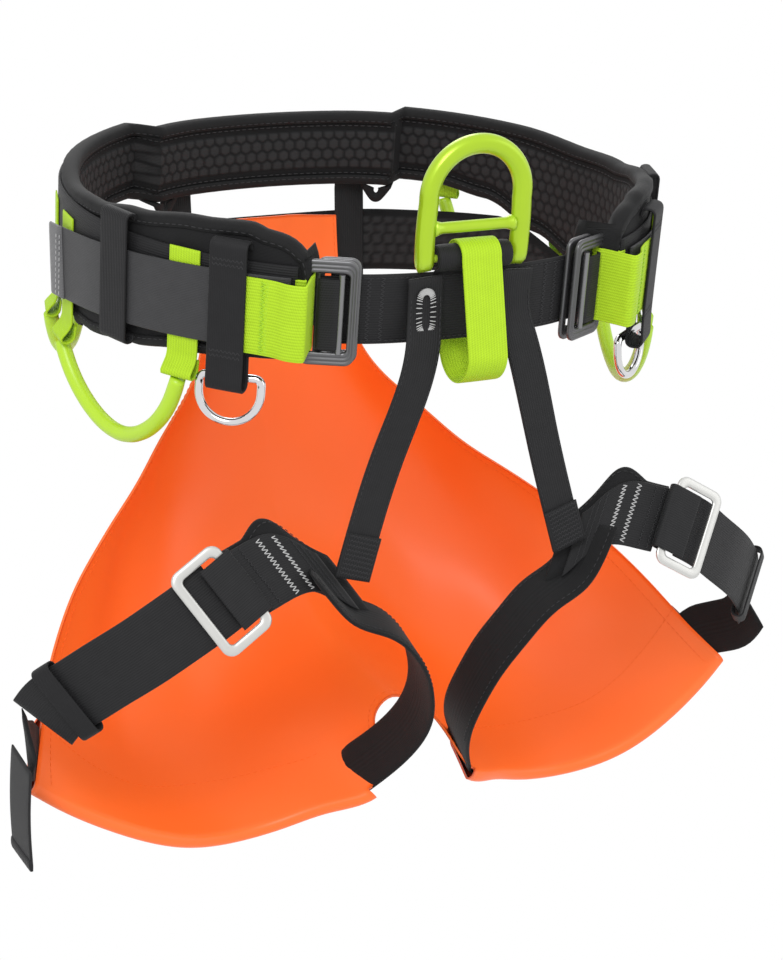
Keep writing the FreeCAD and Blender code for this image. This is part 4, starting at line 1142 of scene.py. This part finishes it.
def make_gear_tabs():
    """Lime webbing from the belt down over each end of a gear loop."""
    places = [(GEAR_FRONT[0], "front"), (GEAR_FRONT[1], "side"), (GEAR_REAR[0], "side"),
              (GEAR_REAR[1], "rear")]
    for name, way in per_side():
        for k, ((s, off, z), kind) in enumerate(places):
            top = GEAR_TAB_TOP[kind]
            path = rounded_path([(11.5, top), (11.5, z + 12), (off + 3.6, z + 3.2), (off - 1.0, z + 1.6),
                                 (off - 4.6, z + 4.0), (10.2, z + 12)], 4.0)
            line = belt(np.full(len(path), s), path[:, 0], path[:, 1])
            around = belt(s + 1.0, 0.0, 0.0) - belt(s - 1.0, 0.0, 0.0)
            normal = np.cross(directions(line), unit(around))
            normal *= np.sign(normal[0] @ belt_out(arr(s)))
            piece = webbing("gear_tab_%s_%d" % (name, k), to_side(line, way), to_side(around, way),
                            to_side(normal, way), 21.0, 1.2,
                            "lime_webbing", "waist_belt", step=1.5, slot="green_webbing", ripple=0.0)
            if k == 0:
                replace_nodes(piece, "gear_tabs_" + name)


def make_side_rings():
    for name, _ in per_side():
        repaint(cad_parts["side_ring_" + name], "steel")


# ------------------------------------------------------------------ risers and rear straps

RISER_TOP = (30.0, -154.8, -16.6)
RISER_LINE = [(31.5, -150.3, -76.0), (50.0, -146.5, -138.0), (75.0, -141.0, -219.0)]


def make_risers():
    """Doubled webbing from the front of the belt down to the leg loops, ribbed where it is sewn."""
    top = tilted(RISER_TOP) + arr([0, 0.6, 0])
    front = arr([top, top + arr([0.3, 1.6, -30.0]), RISER_LINE[0], RISER_LINE[1], RISER_LINE[2]])
    line = spline(front, 90)
    t = np.linspace(0, 1, 90)[:, None]
    across = arr([1, 0, 0]) + arr([0, 0, 0.36]) * np.clip((t - 0.18) / 0.4, 0, 1)
    for name, way in per_side():
        turn = arr([0.0, -1.0, 0.0])
        piece = webbing("riser_band_" + name, to_side(line, way), to_side(across, way), turn, NARROW, 2.2,
                        "webbing", None,
                        step=2.0, slot="black_webbing", seed=3)
        replace_nodes(piece, "riser_" + name)
        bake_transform(piece)
        low = spline(line[76:], 20)
        low_out = np.cross(directions(low), across[-1])
        low_out *= np.sign(-low_out[:, 1:2])
        webbing("riser_end_" + name, to_side(low + low_out * 2.0, way), to_side(across[-1], way),
                to_side(low_out, way), 24.0, 2.0,
                        "webbing", "risers", step=1.5, slot="black_webbing")
        rows = []
        for i in range(1, 19, 2):
            centre = low[i] + low_out[i] * 4.1
            side = unit(across[-1])
            rows += zigzag(*to_side([centre - side * 10.0, centre + side * 10.0], way),
                           to_side(directions(low)[i], way),
                           to_side(low_out[i], way), 0.7, 1.1, 0.1)
        edges = []
        for edge in (-9.6, 9.6):
            path = line[6:76] + reject(across[6:76], directions(line)[6:76]) * edge
            edges += dashes(to_side(path, way), turn, 2.35, 2.4, 1.3)
        seam = stitches("riser_stitching_" + name, edges, 0.26, "black_thread", None)
        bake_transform(seam)
        stitches("riser_end_stitching_" + name, rows, 0.32, "black_thread", "risers")
    oval_tack()


def oval_tack():
    """The pale oval of close stitches at the top of the right riser."""
    up = unit(arr([0.0, -1.6, 30.0]))
    centre = mirror(tilted(RISER_TOP)) - up * 21.0 + arr([0, -1.95, 0])
    rows = []
    count = 58
    straight = 8.0
    for k in range(count):
        a = 2 * math.pi * k / count
        out = arr([math.cos(a), 0, 0]) + up * math.sin(a)
        push = straight * math.tanh(3.0 * math.sin(a))
        point = centre + out * 4.6 + up * push
        rows.append((point - out * 2.1, point + out * 2.1))
    stitches("riser_oval_tack", rows, 0.36, "thread", "waist_belt")


SUSPENDER_TOP = (66.0, 153.8, -33.5)
SUSPENDER_LOW = (65.5, 152.8, -94.0)


def make_suspenders():
    """Rear straps from the belt to the top of the seat."""
    s = GIRTH / 2 - 66.0
    anchor = belt(np.full(8, s), np.linspace(11.4, 11.6, 8), np.linspace(-4, -52, 8))
    line = np.concatenate([anchor, spline([SUSPENDER_TOP, SUSPENDER_LOW,
                                           arr(SUSPENDER_LOW) + arr([0, 0.5, -18])], 20)])
    line = even_steps(line, 70)
    for name, way in per_side():
        piece = webbing("rear_strap_" + name, to_side(line, way), arr([1, 0, 0]), arr([0, 1, 0]), NARROW,
                        1.8, "webbing", None,
                        step=2.5, slot="black_webbing", seed=5)
        replace_nodes(piece, "suspender_" + name, "suspender_anchor_" + name)
        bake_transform(piece)


BACK_BAND_LINE = [(-84, 157.0), (-60, 159.5), (0, 161.5), (60, 159.5), (84, 157.0)]


def make_lower_band():
    """Level padded band under the back of the belt, tapering off under the belt's sides."""
    s = np.concatenate([np.linspace(GIRTH / 4 + 22, GIRTH / 2 - 98, 34),
                        np.linspace(GIRTH / 2 - 92, GIRTH / 2, 16)])
    line = level(s, 3.0, 0.0)
    back = spline([(x, y, 0) for x, y in BACK_BAND_LINE], 60)
    for i in range(34, 50):
        line[i, 1] = np.interp(line[i, 0], back[:, 0], back[:, 1]) + 1.0
    line[30:38] = spline(line[[28, 30, 37, 39]], 12)[2:10]
    line = np.concatenate([line, mirror(line[-2::-1])])
    line = even_steps(line, 180)
    top = np.interp(line[:, 1], [22, 40, 60, 75, 92, 200], [-84.5, -78, -67.5, -59, -53, -51])
    low = np.interp(line[:, 1], [22, 50, 80, 200], [-86.8, -91, -95, -96])
    ahead = directions(line)
    out = np.cross(ahead, UP)
    out *= np.sign((out * arr([1, 1, 0]) * line).sum(1, keepdims=True))
    rows = 22
    t = np.linspace(0, 1, rows)
    z = low[:, None] + (top - low)[:, None] * t[None]
    girth = np.broadcast_to(lengths(line)[:, None], z.shape)
    edge = np.minimum(z - low[:, None], top[:, None] - z)
    cells = np.clip(hexagons(girth, z, 8.4) / 0.34, 0, 1)
    border = np.clip((edge - 4.5) / 1.5, 0, 1)
    plump = 2.4 * (1 - np.exp(-edge / 2.2)) * np.clip((top - low) / 12.0, 0.1, 1)[:, None]
    inner = -plump - 0.5 * border * np.sin(cells * math.pi / 2)
    base = line[:, None] * arr([1, 1, 0]) + UP * z[..., None]
    loops = np.concatenate([base + out[:, None] * (plump + 0.3)[..., None],
                            (base + out[:, None] * inner[..., None])[:, ::-1]], 1)
    u = np.concatenate([z, z[:, ::-1] - 200, z[:, :1]], 1)
    uv = np.stack([u, np.broadcast_to(lengths(line)[:, None], u.shape)], -1)
    piece = grid_piece("lower_back_band", loops, uv, "lining", None, wrap_columns=True, caps=True,
                       slot="belt_fabric")
    replace_nodes(piece, "back_band", "side_bands")
    mark_relief(piece, np.concatenate([np.zeros_like(cells), (border * cells ** 2)[:, ::-1]], 1))
    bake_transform(piece)


HAUL_HOLE_DROP = 3.2


def make_haul_tabs():
    """Two small rounded tabs with a slot under the rear of the belt."""
    s0 = GIRTH / 2 - 84.0
    half = [(2, -12.0), (6, -8.5), (10, -3.0), (13, 2.0)]
    edge = spline([(-x, 0, z) for x, z in reversed(half)] + [(x, 0, z) for x, z in half], 40)
    outer = edge[:, [0, 2]]
    order = np.argsort(-np.unwrap(np.arctan2(outer[:, 1] + HAUL_HOLE_DROP, outer[:, 0])))
    outer = outer[order]
    around = np.arctan2(outer[:, 1] + HAUL_HOLE_DROP, outer[:, 0])
    inner = np.stack([np.cos(around) * 1.6, np.sin(around) * 2.6 - HAUL_HOLE_DROP], 1)
    for name, way in per_side():
        rows = [belt(s0 + r[:, 0], 3.0, -52.3 + r[:, 1]) for r in (outer, outer * 0.5 + inner * 0.5, inner)]
        grid = to_side(np.stack(rows, 0), way)
        uv = np.stack([grid[..., 0], grid[..., 2]], -1)
        piece = grid_piece("rear_tab_" + name, grid, uv, "tape", "waist_belt", slot="black_webbing")
        thicken(piece, 1.8)
        if name == "left":
            replace_nodes(piece, "haul_tabs")


# ------------------------------------------------------------------ seat and leg loops

SEAT_ROWS = [
    [(0, 152, -51), (19, 152, -51), (36, 151, -52), (53, 149, -53)],
    [(0, 156, -96), (20, 155, -96), (38, 151, -97), (53.5, 143, -98)],
    [(0, 159, -140), (24, 157, -140), (46, 148, -142), (63, 127, -145)],
    [(0, 158, -185), (36, 156, -186), (68, 142, -184), (91, 111, -181)],
    [(0, 150, -236), (50, 148, -238), (98, 126, -233), (134, 81, -221)],
    [(0, 122, -284), (62, 122, -298), (126, 96, -296), (184, 38, -260)],
    [(0, 74, -318), (40, 76, -334), (84, 70, -352), (148, 46, -352), (222, -8, -303)],
    [(0, 14, -334), (30, 8, -348), (62, 0, -370), (110, -6, -388), (154, -10, -384), (200, -22, -361),
     (239, -38, -331)],
    [(0, -48, -340), (13, -52, -345), (23, -70, -355), (34, -91, -379), (62, -78, -392), (90, -66, -402),
     (120, -62, -406), (160, -68, -398), (200, -68, -380), (232, -64, -361), (250, -61, -348)],
]
SEAT_COLUMNS, SEAT_LINES = 161, 181
SEAT_HALF = 0.8
HEM_DEPTH_LINES = 20
HEM_FIRST = 100
HEM_HEIGHT = 8.0
BAND_BACK = 24.0
LEG_BAND_START = [(78, -141, -240), (56, -143, -250), (39, -142, -266), (27, -134, -286), (20, -124, -308),
                  (19, -110, -330),
                  (24, -96, -348)]
LEG_BAND_END = [(254, -72, -322), (257, -84, -306)]
THIGH_CENTRE = arr([140, -95, -300])
THIGH_AXIS = arr([-0.09, 0.96, 0.27])
LEG_WIDTH_DIR = unit(arr([0.51, 0.30, 0.80]))
LEG_FRONT = [(84, -136.5, -221), (98, -137, -211), (114, -138, -205), (132, -140, -209),
             (143, -142, -212.5)]
LEG_STRAP = [(158, -143.5, -216.5), (172, -143, -225), (188, -137, -237), (204, -130, -249),
             (222, -119, -263),
             (237, -106, -277), (246, -96, -287)]
LEG_BUCKLE_AT = arr([160.5, -149, -218])
LEG_BUCKLE_RUN = arr([0.90, -0.06, -0.42])
LEG_BUCKLE_W, LEG_BUCKLE_H, LEG_BUCKLE_RIM = 36.0, 60.0, 6.0
LEG_TAIL_RIGHT = [(-264, -86, -320), (-264.5, -84, -340), (-265, -83, -362), (-265, -82, -386)]


def seat_surface():
    rows = []
    for half in SEAT_ROWS:
        left = arr(half)
        rows.append(spline(np.concatenate([mirror(left[1:][::-1]), left]), SEAT_COLUMNS))
    rows = np.stack(rows)
    return np.stack([spline(rows[:, j], SEAT_LINES) for j in range(SEAT_COLUMNS)], 1)


def surface_normals(grid):
    """Unit normals that point to the wearer's side."""
    down = np.gradient(grid, axis=0)
    across = np.gradient(grid, axis=1)
    return unit(np.cross(down, across))


def seat_creases(rows, columns):
    """Height of the soft creases over the sheet, in millimetres."""
    v = (np.arange(rows) / (SEAT_LINES - 1))[:, None]
    u = np.abs(np.linspace(-1, 1, columns))[None]
    side = np.sign(np.linspace(-1, 1, columns))[None]
    drawn = 0.9 * np.sin(u * 21.0 + v * 5.0 + side * 0.7) * np.exp(-((v - 0.72) / 0.2) ** 2)
    back = 0.7 * np.sin(v * 31.0 + u * 6.0 * side) * np.exp(-((v - 0.42) / 0.18) ** 2) * (0.4 + 0.6 * u)
    cross = 0.5 * np.sin((u * 9.0 + v * 17.0) * (1.1 + 0.1 * side)) * np.sin(v * 13.0 + u * 3.0)
    calm = 1 - 0.75 * np.clip((v - 0.82) / 0.08, 0, 1)
    return (drawn + back + cross) * calm


def make_seat(grid, normals):
    """One coated sheet, folded under along the front into a wide hem on each side."""
    shaped = grid + normals * seat_creases(SEAT_LINES, SEAT_COLUMNS)[..., None]
    fold, fold_normal = shaped[-1], normals[-1]
    ahead = unit(shaped[-1] - shaped[-3])
    rows = [shaped]
    normal_rows = [normals]
    for a in np.linspace(0, math.pi, 11)[1:-1]:
        drop = HEM_HEIGHT / 2 * (1 - math.cos(a))
        rows.append((fold - fold_normal * drop + ahead * math.sin(a) * HEM_HEIGHT / 2)[None])
        normal_rows.append((fold_normal * math.cos(a) + ahead * math.sin(a))[None])
    for k in range(HEM_DEPTH_LINES + 1):
        back = shaped[-1 - k]
        near = np.clip((HEM_DEPTH_LINES - k) / 5.0, 0, 1)
        drop = 1.9 + (HEM_HEIGHT - 1.9) * math.sin(near * math.pi / 2)
        rows.append((back - normals[-1 - k] * drop)[None])
        normal_rows.append(-normals[-1 - k][None])
    full = np.concatenate(rows)
    full_normals = np.concatenate(normal_rows)
    count = full.shape[0]
    columns = SEAT_COLUMNS
    layers = [full + full_normals * SEAT_HALF, full - full_normals * SEAT_HALF]
    main_last = SEAT_LINES - 1
    in_hem = np.zeros(columns, bool)
    in_hem[HEM_FIRST:] = True
    in_hem[:columns - HEM_FIRST] = True
    keep = np.ones((count - 1, columns - 1), bool)
    keep[main_last:] = (in_hem[:-1] & in_hem[1:])[None]
    verts = np.concatenate([layer.reshape(-1, 3) for layer in layers])
    under = count * columns
    girth = np.cumsum(np.linalg.norm(np.diff(full, axis=0, prepend=full[:1]), axis=-1), axis=0)
    width = np.cumsum(np.linalg.norm(np.diff(full, axis=1, prepend=full[:, :1]), axis=-1), axis=1)
    faces = []
    for i, j in zip(*np.nonzero(keep)):
        a, b = i * columns + j, i * columns + j + 1
        c, d = b + columns, a + columns
        faces.append((a, d, c, b))
        faces.append((a + under, b + under, c + under, d + under))
        for inside, p, q in ((i > 0 and keep[i - 1, j], b, a), (i < count - 2 and keep[i + 1, j], d, c),
                             (j > 0 and keep[i, j - 1], a, d), (j < columns - 2 and keep[i, j + 1], c, b)):
            if not inside:
                faces.append((p, q, q + under, p + under))
    used = np.unique(np.concatenate([np.array(f) for f in faces]))
    place = np.full(len(verts), -1)
    place[used] = np.arange(len(used))
    faces = [tuple(place[list(f)]) for f in faces]
    flat = np.concatenate([np.stack([width, girth], -1).reshape(-1, 2)] * 2)[used]
    uvs = [flat[i] for f in faces for i in f]
    piece = new_piece("seat_sheet", verts[used], faces, "orange", "seat", uvs, slot="orange_sheet")
    # Painted shade: the under layer inside each hem is marked 'inside' so that it takes the dark colour of
    # the shade in the fold.
    hem_painted_shade = np.zeros((2, count, columns))
    hem_painted_shade[1, main_last - HEM_DEPTH_LINES:, :] = np.where(in_hem, 1.0, 0.0)[None]
    attribute = piece.data.attributes.new("inside", "FLOAT", "POINT")
    attribute.data.foreach_set("value", hem_painted_shade.reshape(-1)[used])
    replace_nodes(piece, "protective_seat", "seat_hem_left", "seat_hem_right")
    seat_seams(full, full_normals)


def seat_seams(full, normals):
    """Stitching along the hems and round the sheet's own edges."""
    found = []
    top = full + normals * SEAT_HALF
    under = full - normals * SEAT_HALF
    last = SEAT_LINES - 1
    seam = last - HEM_DEPTH_LINES + 1
    for columns in (slice(HEM_FIRST, SEAT_COLUMNS), slice(0, SEAT_COLUMNS - HEM_FIRST)):
        found += dashes(top[seam, columns], normals[seam, columns], 0.0, 3.0, 1.6)
    for column in (3, SEAT_COLUMNS - 4):
        found += dashes(top[:last, column], normals[:last, column], 0.1, 3.0, 1.6)
        found += dashes(under[:last, column], -normals[:last, column], 0.1, 3.0, 1.6)
    found += dashes(under[4, 2:-2], -normals[4, 2:-2], 0.1, 3.0, 1.6)
    middle = slice(SEAT_COLUMNS - HEM_FIRST, HEM_FIRST)
    found += dashes(top[last - 3, middle], normals[last - 3, middle], 0.1, 3.0, 1.6)
    stitches("seat_stitching", found, 0.28, "orange_thread", "seat")


def hem_line(grid, normals, back, out):
    """A line inside or under the hem: a distance behind the fold and a distance outside the sheet."""
    columns = np.arange(HEM_FIRST, SEAT_COLUMNS, 4)
    fold = grid[-1, columns]
    inward = unit(grid[-13, columns] - fold)
    outward = -normals[-4, columns]
    return fold + inward * back + outward * out, inward, outward


def padded_section(width, thick, points=13):
    """Outline of a soft band with a rounded edge, as (across, out)."""
    found = []
    for a in np.linspace(0, 2 * math.pi, points * 2, endpoint=False):
        c, s = math.cos(a), math.sin(a)
        found.append((width / 2 * np.sign(c) * abs(c) ** 0.55,
                      thick / 2 * (1 + np.sign(s) * abs(s) ** 0.6)))
    return arr(found)


def soft_band(name, line, across, out, width, thick, material, body, slot, slanted=False):
    """A padded band; width may change along the line."""
    ahead = directions(line)
    side = unit(across) if slanted else reject(across, ahead)
    normal = unit(np.cross(ahead, side))
    flip = np.sign((normal * out).sum(1, keepdims=True))
    normal = normal * np.where(flip == 0, 1, flip)
    width = np.broadcast_to(arr(width), (len(line),))
    grid = []
    for i in range(len(line)):
        near = min(i, len(line) - 1 - i)
        pinch = min(1.0, 0.45 + 0.28 * near)
        section = padded_section(width[i], thick)
        rise = (section[:, 1:] - thick / 2) * pinch + thick / 2
        grid.append(line[i] + side[i] * section[:, :1] + normal[i] * rise)
    grid = np.stack(grid)
    t = lengths(line)
    u = np.concatenate([np.linspace(0, width.mean() * 2, grid.shape[1]), [width.mean() * 2]])
    uv = np.stack(np.broadcast_arrays(u[None], t[:, None]), -1)
    return grid_piece(name, grid, uv, material, body, wrap_columns=True, caps=True, slot=slot), side, normal


def make_leg_bands(grid, normals):
    hem, hem_across, hem_out = hem_line(grid, normals, BAND_BACK, SEAT_HALF + 0.6)
    free = spline(np.concatenate([[(100, -134, -212), (89, -139, -228)], arr(LEG_BAND_START), hem[:1]]),
                  44)[:-1]
    line = np.concatenate([free, hem, arr(LEG_BAND_END)])
    turn = np.linspace(0, 1, len(free))[:, None]
    across = np.concatenate([unit(THIGH_AXIS * (1 - turn ** 3) + hem_across[:1] * turn ** 3), hem_across,
                             unit(hem_across[-1:] + unit(THIGH_AXIS)), unit(THIGH_AXIS)[None]])
    out = np.concatenate([free - THIGH_CENTRE, hem_out, arr(LEG_BAND_END) - THIGH_CENTRE])
    count = 150
    t = lengths(line)
    want = np.linspace(0, t[-1], count)
    line, across, out = (np.stack([np.interp(want, t, a[:, k]) for k in range(3)], 1) for a in (line,
                                                                                                across,
                                                                                                out))
    for _ in range(4):
        line[1:-1] = (line[:-2] + 2 * line[1:-1] + line[2:]) / 4
    for name, way in per_side():
        piece, side, normal = soft_band("leg_padding_" + name, to_side(line, way), to_side(across, way),
                                        to_side(out, way), 37.0, 3.8,
                                        "cover", "seat", "leg_padding")
        replace_nodes(piece, "leg_band_" + name)
        shown = to_side(line, way)[:52]
        edges = []
        for edge in (-15.0, 15.0):
            edges += dashes(shown + side[:52] * edge, normal[:52], 3.7, 2.8, 1.5)
        stitches("leg_padding_stitching_" + name, edges, 0.28, "black_thread", "seat")


def leg_line(points, count=40):
    line = spline(points, count)
    return line, np.broadcast_to(LEG_WIDTH_DIR, line.shape), line - THIGH_CENTRE


def make_leg_front():
    """Webbing across the front of the thigh, the soft patch behind it and two bar tacks."""
    line, across, out = leg_line([(70, -134.5, -226)] + LEG_FRONT)
    ahead = directions(line)
    normal = unit(np.cross(ahead, across))
    normal *= np.sign((normal * out).sum(1, keepdims=True))
    t = np.linspace(0, 1, len(line))[:, None]
    hump = 3.0 + 13.0 * np.sin(math.pi * np.clip(t * 1.25, 0, 1)) ** 1.2
    for name, way in per_side():
        piece = webbing("leg_front_band_" + name, to_side(line[6:], way), to_side(across[6:], way),
                        to_side(out[6:], way), WIDE, MEDIUM,
                        "webbing", "seat", step=2.5, slot="black_webbing", slanted=True)
        replace_nodes(piece, "leg_front_webbing_" + name)
        patch = to_side(line + across * hump / 2 - normal * 5.2, way)
        soft_band("leg_patch_" + name, patch, to_side(across, way), to_side(normal, way), 42.0 + hump[:, 0],
                  5.0, "cover", "seat",
                  "leg_padding", slanted=True)
        edge = to_side(line[3:-3] + across[3:-3] * (17.5 + hump[3:-3]), way)
        stitches("leg_patch_stitching_" + name, dashes(edge, to_side(normal[3:-3], way), 0.1, 2.8, 1.5),
                 0.28, "black_thread", "seat")
        grey = []
        black = []
        for x, half_width, half_length in ((112.5, 1.8, 20.0), (121.5, 1.8, 20.0), (90.0, 0.8, 20.5),
                                           (95.0, 0.8, 20.5),
                                           (101.0, 0.8, 20.5), (134.0, 0.8, 20.5), (139.0, 0.8, 20.5)):
            i = int(np.argmin(np.abs(line[:, 0] - x)))
            ends = to_side(arr([line[i] + LEG_WIDTH_DIR * h + normal[i] * 2.1 for h in (half_length,
                                                                                        -half_length)]),
                           way)
            rows = zigzag(*ends, to_side(ahead[i], way), to_side(normal[i], way), half_width, 1.35, 0.15)
            if half_width > 1:
                grey += rows
            else:
                black += rows
        stitches("leg_tacks_" + name, grey, 0.36, "thread", "seat")
        stitches("leg_front_stitching_" + name, black, 0.26, "black_thread", "seat")


def make_leg_straps():
    line, across, out = leg_line(LEG_STRAP + [(251, -88, -298)], 60)
    for name, way in per_side():
        piece = webbing("leg_strap_band_" + name, to_side(line, way), to_side(across, way),
                        to_side(out, way), WIDE, MEDIUM, "webbing",
                        "seat", step=2.5, slot="black_webbing", seed=4)
        replace_nodes(piece, "leg_strap_" + name)


def plate_axes(run, at, towards):
    """Axes of something flat on the leg strap: along it, out of it and across it."""
    along = unit(run - LEG_WIDTH_DIR * (run @ LEG_WIDTH_DIR))
    out = np.cross(LEG_WIDTH_DIR, along)
    if out @ towards < 0:
        out = -out

    def place(local, way):
        local = arr(local)
        return to_side(at + local[..., :1] * along + local[..., 1:2] * out + local[...,
                                                                                   2:3] * LEG_WIDTH_DIR,
                       way)
    return place


def make_leg_buckles():
    place = plate_axes(unit(LEG_BUCKLE_RUN), LEG_BUCKLE_AT, arr([0.0, -1.0, 0.0]))
    profile = [(0.0, -0.5), (0.0, 0.5), (0.12, 1.0), (0.34, 1.2), (0.66, 1.2), (0.88, 1.0), (1.0, 0.5),
               (1.0, -0.5), (0.88, -1.0),
               (0.66, -1.2), (0.34, -1.2), (0.12, -1.0)]
    outer = (LEG_BUCKLE_W, LEG_BUCKLE_H, 7.0)
    inner = (LEG_BUCKLE_W - 2 * LEG_BUCKLE_RIM, LEG_BUCKLE_H - 2 * LEG_BUCKLE_RIM, 3.0)
    near = -LEG_BUCKLE_W / 2
    wrap = rounded_path([(near + 18.4, 1.6), (near - 2.6, 1.6), (near - 2.6, -2.6), (near + 3.2, -2.6)],
                        2.4, 0.8)
    for name, way in per_side():
        body = "leg_buckle_body_" + name
        ring_plate("leg_buckle_frame_" + name, outer, inner, profile, lambda local,
                   way=way: place(local, way),
                   "satin_metal", body,
                   ["leg_buckle_" + name], "satin_aluminium")
        line = np.stack([wrap[:, 0], wrap[:, 1], np.zeros(len(wrap))], 1)
        world = place(line, way)
        centre = place(arr([near + 4.0, -0.3, 0.0]), way)
        piece = webbing("leg_buckle_webbing_" + name, world, to_side(LEG_WIDTH_DIR, way), world - centre,
                        43.0, 1.3, "webbing", body,
                        step=0.9, slot="black_webbing", ripple=0.0)
        replace_nodes(piece, "leg_buckle_wrap_" + name)


def make_leg_keepers():
    line = spline(LEG_STRAP, 13)
    k = 11
    away = line[k] - THIGH_CENTRE
    place = plate_axes(line[k + 1] - line[k - 1], line[k] - unit(away), away)
    outline = rounded_outline(7.0, 49.5, 3.0)
    centre_line = np.stack([np.zeros(len(outline)), outline[:, 0] + 2.0, outline[:, 1]], 1)
    for name, way in per_side():
        loop = place(centre_line, way)
        middle = loop.mean(0)
        piece = webbing("leg_keeper_band_" + name, loop, place(arr([1.0, 0, 0]),
                                                               way) - place(arr([0.0, 0, 0]), way),
                        loop - middle, 13.6,
                        1.1, "fine_webbing", "leg_keeper_body_" + name, closed=True, slot="black_webbing")
        replace_nodes(piece, "leg_keeper_" + name)


def make_leg_tails(grid, normals):
    hem, across, out = hem_line(grid, normals, BAND_BACK, 11.0)
    piece = webbing("leg_tail_band_left", hem[-5:], across[-5:], out[-5:], 39.0, 1.7, "webbing", "seat",
                    slot="black_webbing")
    replace_nodes(piece, "leg_tail_left")
    line = spline(LEG_TAIL_RIGHT, 30)
    bow = np.sin(np.linspace(0, math.pi, 30))[:, None] * arr([-0.6, 0.2, 0.0])
    side = arr([0, 1.0, 0])
    out = arr([-1.0, 0, 0])
    piece = webbing("leg_tail_band_right", line + bow, side, out, 37.4, 1.7, "webbing", "leg_tail_hanging",
                    slot="black_webbing")
    replace_nodes(piece, "leg_tail_right")
    end = line[-4:] + bow[-4:]
    webbing("leg_tail_fold_right", end, side, out, 37.8, 2.6, "webbing", "leg_tail_hanging",
            slot="black_webbing")


def make_all():
    make_belt_pad()
    make_belt_lining()
    make_belt_tape()
    make_belt_straps()
    make_strap_tails()
    make_keepers()
    make_side_tabs()
    make_gear_tabs()
    make_gear_loops()
    make_side_rings()
    make_waist_buckles()
    make_haul_tabs()
    make_lower_band()
    make_suspenders()
    make_ring()
    make_sleeve()
    make_belay_loop()
    make_risers()
    grid = seat_surface()
    normals = surface_normals(grid)
    make_seat(grid, normals)
    make_leg_bands(grid, normals)
    make_leg_front()
    make_leg_straps()
    make_leg_buckles()
    make_leg_keepers()
    make_leg_tails(grid, normals)
    make_camera()
    make_studio()


make_all()
